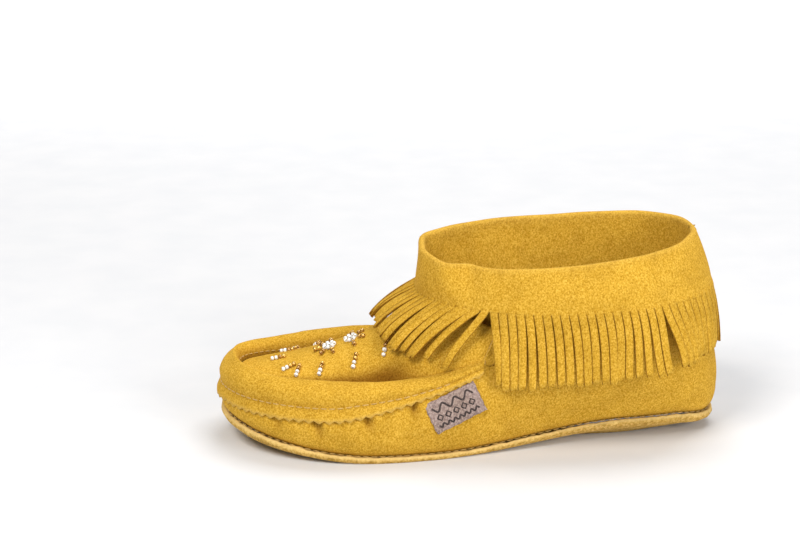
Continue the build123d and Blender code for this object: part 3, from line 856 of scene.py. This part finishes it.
def side_leather(material, cut):
    """The wall: one suede strip from the sole seam to its gathered top edge."""
    rings, painted_shades = [], []
    for row in range(WALL_ROWS + 1):
        level = row / WALL_ROWS
        ring, shaped, sunk = [], [], []
        for angle in columns():
            t = share_at(angle)
            z = mix(seam_height(t) + WALL_ABOVE_SEAM, hidden_top(t), level)
            ring.append(wall_point_at(angle, z))
        for angle, point, inner in zip(columns(), ring, inset(ring, 1.0)):
            t = share_at(angle)
            above = point.z - seam_height(t) - SEAM_GAP
            side = -1 if math.sin(math.radians(angle)) > 0.0 else 1
            gathered = pucker(point.x, side, band_edge_height(t) - point.z)
            dent = 1.5 * bell(above, -0.6, 1.9) + gathered
            # Painted shade: darker in the pucker dents and in the groove just above the sole seam.
            sunk.append(min(1.0, 0.45 * max(0.0, gathered) + 0.7 * bell(above, -0.5, 0.8)))
            dent += 0.7 * bell(point.y, 0.0, 2.4) * smooth((t - 0.9) * 20.0)
            dent += waves(point, 19.0, 0.75) * smooth(above / 6.0) + waves(point, 7.0, 0.25)
            behind_band = 1.0 - smooth(span(t, BAND_FADES))
            covered = smooth((point.z - band_edge_height(t) + 0.5) / 2.5) * behind_band
            dent = mix(dent, WALL_UNDER_BAND, covered)
            shaped.append(point + (inner - point) * dent)
        rings.append(shaped)
        painted_shades.append(sunk)
    mesh = grid("side_leather", rings, painted_shades=painted_shades)
    made = finish_piece("side_leather", mesh, [material, cut], replaces=["side_upper"])
    return thicken(made, SUEDE)


def fleece_wall(material):
    """The pile lining of the wall, open at the top for the foot."""
    def level_ring(share, depth):
        points = []
        for angle in columns(240):
            t = share_at(angle)
            top = min(crest_height(t) - LINING_BELOW_CREST, LINING_TOP_LIMIT)
            points.append(wall_point_at(angle, mix(seam_height(t) + 2.5, top, share)))
        return inset(points, depth)
    near, far = SUEDE + GAP + 0.3, SUEDE + GAP + FLEECE
    rows = [level_ring(i / 8.0, near) for i in range(9)]
    rows.append(level_ring(1.03, (near + far) / 2.0))
    inner = [level_ring(1.0 - i / 22.0, far - 0.6) for i in range(23)]
    for row in inner:
        for i, (point, deeper) in enumerate(zip(row, inset(row, 1.0))):
            lump = waves(point, 5.5, 1.0) + waves(point, 2.3, 0.5)
            row[i] = point + (deeper - point) * lump
    mesh = recalculate(grid("fleece_wall", rows + inner, loop=True))
    made = finish_piece("fleece_wall", mesh, [material], replaces=["fleece_lining"])
    return made


# ---------------------------------------------------------------- rim and plug

def rim_columns(count=RIM_COLUMNS, end=BAND_END_ANGLE):
    sweep = 360.0 - 2.0 * end
    return [end + sweep * i / (count - 1) for i in range(count)]


def band_profile(angle, count=30):
    """The rolled rim's outer skin at an angle, from above its pinked edge to the plug seam."""
    t, seam, out, reach = rim_frame(angle)
    edge, crest = band_edge_height(t), crest_height(t)
    valley = crest - PLUG_DROP
    if angle > 180.0:
        crest += INNER_CREST * bell(t, *INNER_CREST_AT)
    stand = BAND_STAND_OFF + SUEDE
    stitch = stitch_height(t)
    shoulder = reach(crest)
    low_edge = edge + min(1.8, 0.5 * (stitch - edge))
    skin = [
        (reach(edge) + stand + 0.1, low_edge),
        (mix(reach(edge), reach(stitch), 0.5) + stand, mix(low_edge, stitch, 0.5)),
        (reach(stitch) + stand - 0.2, stitch),
        (reach(stitch) + stand + 0.4, mix(stitch, crest, 0.34)),
        (mix(reach(crest), reach(stitch), 0.5) + stand + 0.1, mix(stitch, crest, 0.70)),
        (shoulder * 0.97, mix(stitch, crest, 0.97)),
        (shoulder * 0.80, crest + 0.9),
        (shoulder * 0.62, crest + 0.8),
        (shoulder * 0.44, crest - 0.6),
        (shoulder * 0.29, mix(crest, valley, 0.5)),
        (shoulder * 0.18, valley),
        (shoulder * 0.12, valley - 3.0),
    ]
    line = curve_through([(distance, z, 0.0) for distance, z in skin], count)
    return [seam + out * p.x + UP * (p.y - seam.z) for p in line]


def tooth(distance):
    """Height of the pinked edge at a distance along it: sharp points, a tooth every pitch."""
    place = (distance / TOOTH_PITCH) % 1.0
    return TOOTH_DEPTH * abs(2.0 * place - 1.0)


def rim_roll(material, cut):
    """The rolled rim: pinked lower edge, sunk stitch line, padded crest and the slope to the plug seam."""
    angles = rim_columns()
    profiles = [band_profile(angle) for angle in angles]
    lower = [profile[0] for profile in profiles]
    travelled = [0.0]
    for a, b in zip(lower, lower[1:]):
        travelled.append(travelled[-1] + (b - a).length)
    first = []
    for point, angle, distance in zip(lower, angles, travelled):
        flare = TOOTH_FLARE + waves((distance, 0.0, 0.0), 9.0, 0.2)
        seam = outline_point(PLUG_OUTLINE, angle, point.z)
        out = Vector((point.x - seam.x, point.y - seam.y, 0.0)).normalized()
        first.append(point + out * flare + UP * (tooth(distance) - TOOTH_HANG - TOOTH_DEPTH / 2.0))
    rows = [first]
    for r in range(len(profiles[0])):
        row = []
        for point, distance in zip([profile[r] for profile in profiles], travelled):
            swell = waves(point, 16.0, 0.45) + waves(point, 6.0, 0.16)
            gather = GATHER_DEPTH * math.sin(distance * 2.0 * math.pi / GATHER_PITCH) * bell(r, 26.0, 3.0)
            row.append(point + UP * ((swell + gather) * smooth(r / 4.0)))
        rows.append(row)
    edges = [[0.55] * len(angles), [0.08] * len(angles)] + [[0.0] * len(angles)] * (len(rows) - 2)
    # Painted shade: darker along the sunk stitch line and down the slope into the plug seam valley.
    painted_shades = [[0.85 * smooth((r - 22.0) / 6.0) + 0.28 * bell(r, 6.0, 1.2)] * len(angles)
               for r in range(len(rows))]
    mesh = grid("rim_roll", rows, ring=False, edges=edges, painted_shades=painted_shades)
    made = finish_piece("rim_roll", mesh, [material, cut], replaces=["rim_band", "rim_filler"])
    return thicken(made, SUEDE)


def well_front(y):
    """X where the collar begins behind the plug, at a distance from the middle line."""
    length, width = (ROOT_OVAL[i] - FACING_LEAN + WELL_CLEARANCE for i in (1, 2))
    share = min(1.0, abs(y) / width)
    return min(21.0, ROOT_OVAL[0] - length * (1.0 - share ** OVAL_ROUNDNESS) ** (1.0 / OVAL_ROUNDNESS))


def plug_rows(width, sink, front, rows, across):
    """Rows of points across the domed plug, closer together towards the toe."""
    made = []
    for r in range(rows):
        share = (r / (rows - 1)) ** 1.5
        row = []
        for c in range(across):
            v = math.sin(math.pi * (c / (across - 1) - 0.5)) * width
            guess = plug_point(mix(front, -10.0, share), v, sink)
            rear = well_front(guess.y) - 0.4
            row.append(plug_point(mix(front, rear, share), v, sink))
        made.append(row)
    return made


def vamp_leather(material, cut):
    """The domed plug over the toes, tucked under the rim along its edges."""
    rows = plug_rows(1.0, 0.0, PLUG_FRONT, 90, 81)
    for row in rows:
        for point in row:
            point.z += waves(point, 21.0, 0.5) + waves(point, 7.0, 0.14)
            reach = abs((point.y - plug_middle(plug_share(point.x))) / PLUG_OUTLINE[2][0])
            point.z -= PLUG_TUCK * min(1.0, reach) ** 6
    across = len(rows[0])
    # Painted shade: the plug darkens towards its tucked sides, fading out rearward, and across its first rows
    # at the toe.
    painted_shades = []
    for row in rows:
        fade = 1.0 - smooth(span(row[0].x, (-40.0, -20.0)))
        sides = [abs(2.0 * c / (across - 1) - 1.0) for c in range(across)]
        painted_shades.append([fade * smooth((side - 0.50) / 0.22) for side in sides])
    for r in range(9):
        painted_shades[r] = [max(value, 1.0 - r / 9.0) for value in painted_shades[r]]
    mesh = facing(grid("vamp_leather", rows, ring=False, painted_shades=painted_shades), UP)
    made = finish_piece("vamp_leather", mesh, [material, cut], replaces=["vamp_plug"])
    return thicken(made, SUEDE)


def fleece_vamp(material):
    """The pile under the plug."""
    under = SUEDE + 4.0 * GAP
    top, bottom = (plug_rows(LINING_WIDTH, under + depth, LINING_FRONT, 50, 41)
                   for depth in (0.2, LINING_DEPTH))
    for row in bottom:
        for point in row:
            point.z += waves(point, 5.0, 0.8) + waves(point, 2.2, 0.4)
    loops = [upper + lower[::-1] for upper, lower in zip(top, bottom)]
    mesh = recalculate(mesh_from("fleece_vamp", flattened(loops), tube_parts(loops, 0)))
    made = finish_piece("fleece_vamp", mesh, [material], replaces=["vamp_lining"])
    return made


# ---------------------------------------------------------------- cuff and fringe

def cuff_sheet(material, cut):
    """The collar's one suede sheet: up inside the ankle, over the rim and down to the fringe roots."""
    half = SUEDE / 2.0
    rows = [cuff_ring(level / 24.0, half) for level in range(25)]
    over_outer, over_inner = rows[-1], facing_ring(1.0, half)
    for turn in (36.0, 72.0, 108.0, 144.0):
        c, s = math.cos(math.radians(turn)), math.sin(math.radians(turn))
        row = []
        for a, b in zip(over_outer, over_inner):
            middle, arm = (a + b) / 2.0, (a - b) / 2.0
            row.append(middle + arm * c + UP * (1.25 * s))
        rows.append(row)
    rows += [facing_ring(1.0 - i / 26.0, half) for i in range(27)]
    rims = [[0.18 * bell(r, 27.0, 2.5)] * ROUND_COLUMNS for r in range(len(rows))]
    for r, row in enumerate(rows):
        for i, (point, deeper) in enumerate(zip(row, inset(row, 1.0))):
            rumple = waves(point, 17.0, 0.5) * smooth(r / 6.0)
            back_seam = 0.5 * bell(i if i < ROUND_COLUMNS / 2 else i - ROUND_COLUMNS, 0.0, 1.1)
            row[i] = point + (deeper - point) * (rumple + (back_seam if r < 27 else -back_seam))
    mesh = grid("cuff_sheet", rows, edges=rims)
    made = finish_piece("cuff_sheet", mesh, [material, cut],
                        replaces=["cuff_band", "collar_facing"])
    return thicken(made, SUEDE, offset=0.0)


def fringe_angles():
    """Strand angles at equal distances round the fringe roots, starting beside the back seam."""
    fine = 720
    ring = [oval_point(ROOT_OVAL, 360.0 * i / fine) for i in range(fine + 1)]
    steps = [(b - a).length for a, b in zip(ring, ring[1:])]
    count = (2 * GROUPS_PER_SIDE + 1) * STRANDS_PER_GROUP
    pitch = sum(steps) / count
    found, travelled, wanted = [], 0.0, pitch / 2.0
    for i, step in enumerate(steps):
        while len(found) < count and travelled + step >= wanted:
            found.append(360.0 * (i + (wanted - travelled) / step) / fine)
            wanted += pitch
        travelled += step
    return found


def front_share(angle):
    """1 where the strands fan forward over the plug, 0 where they hang beside the wall."""
    return smooth((180.0 - abs(angle - 180.0) - FRONT_FAN[0]) / (FRONT_FAN[1] - FRONT_FAN[0]))


def strand_ends(angle):
    """Root, tip, level direction out and along the cuff of one strand."""
    root = cuff_point(0.0, angle)
    ahead = (cuff_point(0.0, angle + 1.0) - cuff_point(0.0, angle - 1.0)).normalized()
    out = Vector((-ahead.y, ahead.x, 0.0)).normalized()
    root = root - out * (SUEDE / 2.0)
    sweep = SIDE_SWEEP * math.sin(math.radians(angle)) ** 2
    side_tip = oval_point(TIP_OVAL, angle) + Vector((sweep, 0.0, 0.0))
    away = abs(angle - 180.0)
    beside = smooth(away / FRONT_BESIDE_ANGLE)
    spread = CORNER_SPREAD * bell(away, *CORNER_ANGLES)
    front_tip = root + Vector((mix(FRONT_REACH[0], FRONT_REACH_BESIDE[0], beside), 0.0,
                               mix(FRONT_REACH[1], FRONT_REACH_BESIDE[1], beside)))
    return root, side_tip.lerp(front_tip, front_share(angle)) + out * spread, out, ahead


def strand_line(angle, tip_shift, count=14):
    """Centre line of one strand: off the cuff's slope, bent by its own weight."""
    root, tip, out, ahead = strand_ends(angle)
    tip = tip + tip_shift
    slope = (cuff_point(0.0, angle) - cuff_point(0.3, angle)).normalized()
    length = (tip - root).length
    chord = (tip - root) / length
    front = front_share(angle)
    start = slope.lerp(chord, 0.1).lerp(chord + Vector((-0.30, 0.0, 0.35)), 0.75 * front).normalized()
    finish = chord.lerp(-UP, mix(0.65, 0.35, front)).normalized()
    points = []
    for i in range(count):
        u = i / (count - 1)
        h0, h1 = 2 * u ** 3 - 3 * u ** 2 + 1, u ** 3 - 2 * u ** 2 + u
        h2, h3 = -2 * u ** 3 + 3 * u ** 2, u ** 3 - u ** 2
        points.append(root * h0 + start * (length * h1) + tip * h2 + finish * (length * h3))
    tucked = (cuff_point(0.0, angle) - cuff_point(ROOT_LEVEL, angle)).length
    proud = out * (cuff_wave(angle, ROOT_LEVEL) + STRAND_PROUD)
    above = [root - slope * tucked - out * 0.5, root - slope * (0.85 * tucked) + proud,
             root - slope * (0.4 * tucked) + proud]
    points[0] = root + proud * 0.8
    return above + points, out, ahead


def strand_rows(angle):
    """One strand, with its own small bend, twist and cut."""
    root, tip, out, ahead = strand_ends(angle)
    outer = angle < 180.0
    front = front_share(angle)
    stray = 0.45 + 1.4 * front
    shift = ahead * dice.uniform(-stray, stray) + out * dice.uniform(-0.3, 0.5 + 1.6 * front)
    shift.x -= CORNER_SWEEP * bell(180.0 - abs(angle - 180.0), 112.0, 12.0)
    shift += (tip - root) * dice.uniform(-0.035, 0.03 + 0.05 * front)
    if outer and angle < PARTING_ANGLE:
        shift -= ahead * (PARTING_SHIFT[0] * bell(angle, PARTING_ANGLE, PARTING_SHIFT[1]))
        shift += out * (PARTING_LIFT[0] * bell(angle, PARTING_ANGLE, PARTING_LIFT[1]))
    curl = 0.0
    if outer and angle > PARTING_ANGLE:
        curl = PARTING_CURL[0] * bell(angle, PARTING_ANGLE + 5.0, PARTING_CURL[1])
    line, out, ahead = strand_line(angle, shift)
    twist = math.radians(dice.uniform(-10.0, 10.0)) * (1.0 + 2.5 * front)
    width = STRAND_WIDTH * dice.uniform(0.96, 1.01)
    slant = dice.uniform(-0.1, 0.7)
    last = len(line) - 1
    for i, point in enumerate(line):
        u = i / last
        line[i] = point - ahead * (curl * u ** 3) + out * (0.5 * curl * u ** 2)

    def across_at(i, direction):
        flat = (ahead - direction * ahead.dot(direction)).normalized()
        return Matrix.Rotation(twist * (i / last) ** 1.5, 3, direction) @ flat

    def width_at(i):
        return width * mix(1.0, 0.88, front) * (0.90 if i == last else 1.0)
    rows, sides = tube_rows(line, across_at, width_at, STRAND_THICKNESS, STRAP)
    fall = (line[-1] - line[-2]).normalized()
    for row, amount in ((rows[-1], slant), (rows[-2], slant * 0.7)):
        centre = sum(row, Vector()) / len(row)
        for k, point in enumerate(row):
            row[k] = point + fall * ((point - centre).dot(ahead) * amount)
    # Painted shade: each strand darkens along its sides below the root, so the slits between strands read
    # dark.
    painted_shades = [[STRAND_SHADE * smooth((i - 2.0) / 3.0) * value for value in row]
               for i, row in enumerate(sides)]
    return rows, painted_shades


def fringe_group(name, strand_angles, material, cut):
    """One group of strands, built as one piece in place of its CAD fringe group."""
    points, faces, painted_shades = [], [], []
    for angle in strand_angles:
        rows, sides = strand_rows(angle)
        faces += tube_parts(rows, len(points))
        points += flattened(rows)
        painted_shades += flattened(sides)
    piece = "strands_" + name.removeprefix("fringe_")
    mesh = recalculate(mesh_from(piece, points, faces, painted_shades=painted_shades))
    made = finish_piece(piece, mesh, [material, cut], body=None, replaces=[name])
    ends = [strand_ends(angle) for angle in strand_angles]
    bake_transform(made)
    return made


def fringe(material, cut):
    found = fringe_angles()
    names = [f"fringe_outer_{i + 1}" for i in range(GROUPS_PER_SIDE)]
    names.append("fringe_front")
    names += [f"fringe_inner_{GROUPS_PER_SIDE - i}" for i in range(GROUPS_PER_SIDE)]
    for i, name in enumerate(names):
        fringe_group(name, found[i * STRANDS_PER_GROUP:(i + 1) * STRANDS_PER_GROUP], material, cut)


# ---------------------------------------------------------------- stitches, label and beads

def capsule(start, end, radius, lift, sides=6, rings=6):
    """Rows of points round one stitch, arched up between its two holes."""
    axis = (end - start).normalized()
    across = axis.cross(lift).normalized()
    rows = []
    for i in range(rings + 1):
        u = i / rings
        size = radius * math.sin(math.pi * (0.08 + 0.84 * u)) ** 0.5
        centre = start.lerp(end, u) + lift * (0.45 * radius * math.sin(math.pi * u) - 0.15 * radius)
        row = []
        for k in range(sides):
            turn = 2.0 * math.pi * k / sides
            row.append(centre + across * (size * math.cos(turn)) + lift * (size * math.sin(turn)))
        rows.append(row)
    return rows


def stitches(name, line, lifts, material, replaces, length=2.9, pitch=4.0, radius=0.32):
    """A row of stitches along a line of points; lifts are the directions out of the leather."""
    at, total = along(line)
    points, faces = [], []
    for i in range(int(total / pitch) - 1):
        distance = i * pitch + pitch * 0.3
        start, end = at(distance), at(distance + length)
        lift = lifts[int(distance / total * (len(line) - 1))]
        rows = capsule(start, end, radius, lift)
        faces += tube_parts(rows, len(points))
        points += flattened(rows)
    mesh = recalculate(mesh_from(name, points, faces))
    return finish_piece(name, mesh, [material], replaces=replaces)


def rim_stitches(material):
    """The sewn line above the pinked edge, and the finer one beside the plug seam."""
    angles = rim_columns(240)[10:-10]
    lower, lower_up, upper, upper_up = [], [], [], []
    for angle in angles:
        profile = band_profile(angle)
        out = Vector((profile[4].x - profile[-1].x, profile[4].y - profile[-1].y, 0.0)).normalized()
        lower.append(profile[5] + out * 0.1)
        lower_up.append(out)
        upper.append(profile[25] + UP * 0.3)
        upper_up.append((UP - out * 0.6).normalized())
    stitches("rim_stitches", lower, lower_up, material, ["rim_stitching"])
    stitches("plug_seam_stitches", upper, upper_up, material, ["plug_seam_thread"], length=2.2, pitch=3.4,
             radius=0.24)


def sole_stitches(material):
    """Thread in the groove between the wall and the sole."""
    ring = [outline_point(SOLE_OUTLINE, a, lambda t: seam_height(t) + SEAM_GAP / 2.0) for a in columns(240)]
    lifts = [(point - inner).normalized() for point, inner in zip(ring, inset(ring, 1.0))]
    ring = inset(ring, 1.3)
    stitches("sole_stitches", ring + ring[:1], lifts + lifts[:1], material, ["sole_seam_thread"], radius=0.25)


def cuff_stitches(material):
    """The short seam up the back of the cuff."""
    line = [cuff_point(level / 8.0, 0.0) + Vector((0.75, 0.0, 0.0)) for level in range(1, 9)]
    lifts = [Vector((1.0, 0.0, 0.0))] * len(line)
    stitches("cuff_stitches", line, lifts, material, ["cuff_seam_thread"], length=2.4, radius=0.34)


def heel_piping(material, cut):
    """The narrow strip sewn over the back seam."""
    line = []
    for i in range(17):
        t_level = mix(0.03, 0.80, i / 16.0)
        low = seam_height(1.0) + SEAM_GAP
        line.append(wall_point(t_level, 0.0, mix(low, wall_top(1.0), t_level)) + Vector((0.35, 0.0, 0.0)))

    def across_at(i, direction):
        return Vector((0.0, 1.0, 0.0))

    rows, sides = tube_rows(line, across_at, lambda i: 2.4 - 0.5 * (i in (0, 16)), 1.4, PIPING)
    # Painted shade: the strip is darkened along both sides, where it meets the wall.
    mesh = mesh_from("heel_piping", flattened(rows), tube_parts(rows, 0), painted_shades=flattened(sides))
    recalculate(mesh)
    return finish_piece("heel_piping", mesh, [material, cut], replaces=["heel_welt"])


def label_frame():
    """Centre of the label on the wall, and its directions rearward, upward and out."""
    angle, z = LABEL_PLACE
    centre = wall_point_at(angle, z)
    rearward = (wall_point_at(angle - 4.0, z) - centre).normalized()
    upward = (wall_point_at(angle, z + 4.0) - centre).normalized()
    slope = math.radians(LABEL_SLOPE)
    right = rearward * math.cos(slope) + upward * math.sin(slope)
    out = rearward.cross(upward).normalized()
    return centre, right, out.cross(right).normalized(), out


def label_point(u, v, lift):
    """Point over the label at u along it and v up it, both from -0.5 to 0.5; it lies on the curved wall."""
    centre, right, up, out = label_frame()
    flat = centre + right * (u * LABEL_SIZE[0]) + up * (v * LABEL_SIZE[1])
    wall = wall_under(flat.x, flat.z)
    corner = max(0.0, abs(u) + abs(v) - 0.78) * 2.5 if v < 0.0 else 0.0
    return wall + out * (lift + corner + 0.25 * math.sin(9.0 * u + 2.0))


def label_tab(material, cut):
    """The grey suede tab sewn under the pinked edge."""
    rows = []
    for r in range(21):
        v = r / 20.0 - 0.5
        row = []
        for c in range(33):
            u = c / 32.0 - 0.5
            ragged = 0.010 * math.sin(31.0 * u) if r in (0, 20) else 0.0
            wavy = 0.006 * math.sin(23.0 * v) if c in (0, 32) else 0.0
            row.append(label_point(u + wavy, v + ragged, LABEL_LIFT))
        rows.append(row)
    mesh = facing(grid("label_tab_suede", rows, ring=False), OUTER_SIDE)
    made = finish_piece("label_tab_suede", mesh, [material, cut], replaces=["label_tab"])
    return thicken(made, LABEL_THICKNESS)


def label_line(path, width, points, faces):
    """Adds a flat printed line along a path of (u, v) places on the label."""
    start = len(points)
    for i, (u, v) in enumerate(path):
        before, after = path[max(0, i - 1)], path[min(len(path) - 1, i + 1)]
        du, dv = (after[0] - before[0]) * LABEL_SIZE[0], (after[1] - before[1]) * LABEL_SIZE[1]
        size = math.hypot(du, dv) or 1.0
        nu, nv = -dv / size * width / LABEL_SIZE[0], du / size * width / LABEL_SIZE[1]
        points.append(label_point(u + nu / 2.0, v + nv / 2.0, PRINT_LIFT))
        points.append(label_point(u - nu / 2.0, v - nv / 2.0, PRINT_LIFT))
    for i in range(len(path) - 1):
        k = start + 2 * i
        faces.append((k, k + 1, k + 3, k + 2))


def label_motif(material):
    """A plain woven-look motif: waves above and below a row of lozenges."""
    points, faces = [], []
    for base, height, count in ((0.24, 0.10, 4.0), (-0.30, 0.05, 9.0)):
        path = []
        for i in range(73):
            u = mix(-0.40, 0.40, i / 72.0)
            path.append((u, base + height * math.sin(2.0 * math.pi * count * u)))
        label_line(path, 0.85, points, faces)
    for i in range(5):
        u = mix(-0.32, 0.32, i / 4.0)
        lozenge = [(u - 0.055, -0.05), (u, 0.05), (u + 0.055, -0.05), (u, -0.15), (u - 0.055, -0.05)]
        label_line(lozenge, 0.75, points, faces)
    mesh = facing(mesh_from("label_motif", points, faces), OUTER_SIDE)
    made = finish_piece("label_motif", mesh, [material])
    return thicken(made, PRINT_THICKNESS, offset=0.0)


def bead_shape(x, y, heading, points, faces):
    """Adds one rounded seed bead with its hole, lying on the plug."""
    surface, up = plug_surface(x, y)
    centre = surface + up * (BEAD_RADIUS * 0.86)
    axis = Vector((math.cos(heading), math.sin(heading), 0.0))
    axis = (axis - up * axis.dot(up)).normalized()
    side = axis.cross(up).normalized()
    size = dice.uniform(0.92, 1.07)
    start = len(points)
    around, section = 12, 10
    for i in range(section):
        turn = 2.0 * math.pi * i / section
        radius = BEAD_RADIUS * (BEAD_HOLE[0] + BEAD_HOLE[1] * math.cos(turn)) * size
        shift = BEAD_LENGTH * 0.5 * math.sin(turn) * size
        for k in range(around):
            angle = 2.0 * math.pi * k / around
            points.append(centre + axis * shift + (up * math.sin(angle) + side * math.cos(angle)) * radius)
    faces += grid_faces(section, around, True, loop=True, start=start)


def beads(name, places, material, replaced):
    points, faces = [], []
    for x, y, heading in places:
        bead_shape(x, y, heading, points, faces)
    mesh = recalculate(mesh_from(name, points, faces))
    return finish_piece(name, mesh, [material], replaces=[replaced])


def ray_places(first, last):
    """Places of the beads of all the rays, from bead number first up to last, counted from the outer end."""
    places = []
    for x, away in BEAD_RAYS:
        for sign in ((-1.0, 1.0) if away else (1.0,)):
            y = sign * away
            heading = math.atan2(RAY_TARGET[1] - y, RAY_TARGET[0] - x)
            if away > 15.0:
                heading = math.radians(-70.0 * sign)
            for i in range(first, last):
                reach = i * BEAD_PITCH
                places.append((x + reach * math.cos(heading), y + reach * math.sin(heading), heading))
    return places


def white_places():
    places = ray_places(0, 2)
    for cx, cy in FLOWER_CENTRES:
        for radius, count in FLOWER_CORE_RINGS:
            for i in range(count):
                turn = 2.0 * math.pi * i / count
                places.append((cx + radius * math.cos(turn), cy + radius * math.sin(turn), turn + 1.57))
    return places


def gold_places():
    places = ray_places(2, 4)
    for number, (cx, cy) in enumerate(FLOWER_CENTRES):
        for i in range(PETALS):
            turn = 2.0 * math.pi * (i + 0.5) / PETALS
            toward_other = math.cos(turn) if number == 0 else -math.cos(turn)
            if toward_other > 0.5:
                continue
            for radius in PETAL_RADII:
                places.append((cx + radius * math.cos(turn), cy + radius * math.sin(turn), turn))
    return places


# ---------------------------------------------------------------- studio

CAMERA_PLACE = (-0.1164, -0.9418, 0.3685)
CAMERA_TARGET = (-0.0331, 0.0109, 0.0761)
CAMERA_LENS = 91.0
FLOOR_HALF = 12000.0
WORLD_STRENGTH = 0.30
AIM = (0.0, 0.0, 0.05)


def aimed(name, data, place, target):
    """Object for a camera or light at a place, looking at a target."""
    made = bpy.data.objects.new(name, data)
    bpy.context.scene.collection.objects.link(made)
    made.location = place
    made.rotation_euler = (Vector(target) - Vector(place)).to_track_quat("-Z", "Y").to_euler()
    return made


def camera():
    data = bpy.data.cameras.new("camera")
    data.lens = CAMERA_LENS
    data.clip_start = 0.05
    data.clip_end = 60.0
    bpy.context.scene.camera = aimed("camera", data, CAMERA_PLACE, CAMERA_TARGET)


def softbox(name, place, target, size, power, colour=WHITE, spread=180.0):
    data = bpy.data.lights.new(name, "AREA")
    data.shape = "RECTANGLE"
    data.size, data.size_y = size
    data.energy = power
    data.color = colour
    data.spread = math.radians(spread)
    aimed(name, data, place, target)


def studio():
    camera()
    softbox("key_softbox", (-0.8, -0.9, 1.4), AIM, (0.7, 0.7), 23.0, WARM_WHITE)
    softbox("top_softbox", (0.3, 0.5, 1.6), AIM, (1.2, 0.9), 18.0)
    softbox("fill_softbox", (1.0, -1.3, 0.6), AIM, (0.9, 0.9), 19.0)
    softbox("backdrop_softbox", (-0.15, 2.0, 1.5), (-0.15, 2.0, 0.0), (2.8, 1.2), 40.0, spread=85.0)
    world = bpy.data.worlds.new("studio_world")
    world.use_nodes = True
    background = world.node_tree.nodes["Background"]
    background.inputs["Color"].default_value = (*WHITE, 1.0)
    background.inputs["Strength"].default_value = WORLD_STRENGTH
    bpy.context.scene.world = world
    bpy.context.scene.view_settings.view_transform = "Standard"
    corners = [(x * FLOOR_HALF, y * FLOOR_HALF, 0.0) for x, y in ((-1, -1), (1, -1), (1, 1), (-1, 1))]
    mesh = mesh_from("studio_floor", corners, [(0, 1, 2, 3)])
    floor = finish_piece("studio_floor", mesh, [floor_material()], body=None)


def main():
    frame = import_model()
    studio()
    gold = suede("golden_suede", (0.38, 0.19, 0.010), (0.56, 0.315, 0.026), (0.69, 0.42, 0.062),
                 (0.70, 0.46, 0.12))
    gold_cut = suede("golden_suede_cut", (0.42, 0.23, 0.035), (0.58, 0.35, 0.07), (0.70, 0.47, 0.13),
                     (0.70, 0.46, 0.13), nap=1500.0)
    sole = suede("sole_suede", (0.36, 0.20, 0.03), (0.55, 0.33, 0.07), (0.72, 0.50, 0.16), (0.74, 0.53, 0.20),
                 nap=700.0, patch=0.4)
    grey = suede("label_suede", (0.19, 0.135, 0.12), (0.32, 0.235, 0.205), (0.44, 0.34, 0.30),
                 (0.50, 0.40, 0.36), nap=1100.0)
    fleece = fleece_material()
    thread = thread_material()
    sole_leather(sole, gold_cut)
    side_leather(gold, gold_cut)
    fleece_insole(fleece)
    fleece_wall(fleece)
    rim_roll(gold, gold_cut)
    vamp_leather(gold, gold_cut)
    fleece_vamp(fleece)
    cuff_sheet(gold, gold_cut)
    fringe(gold, gold_cut)
    rim_stitches(thread)
    sole_stitches(thread)
    cuff_stitches(thread)
    heel_piping(gold, gold_cut)
    label_tab(grey, grey)
    label_motif(print_material())
    pearl = glass_beads("pearl_glass", (0.72, 0.70, 0.66), (0.95, 0.94, 0.90), 0.0, 0.22)
    amber = glass_beads("amber_glass", (0.30, 0.13, 0.015), (0.78, 0.47, 0.10), 0.55, 0.25)
    beads("pearl_beads", white_places(), pearl, "white_beads")
    beads("amber_beads", gold_places(), amber, "gold_beads")
    frame["nodes"]["midsole_foam"].data.materials.clear()
    frame["nodes"]["midsole_foam"].data.materials.append(foam_material())


main()
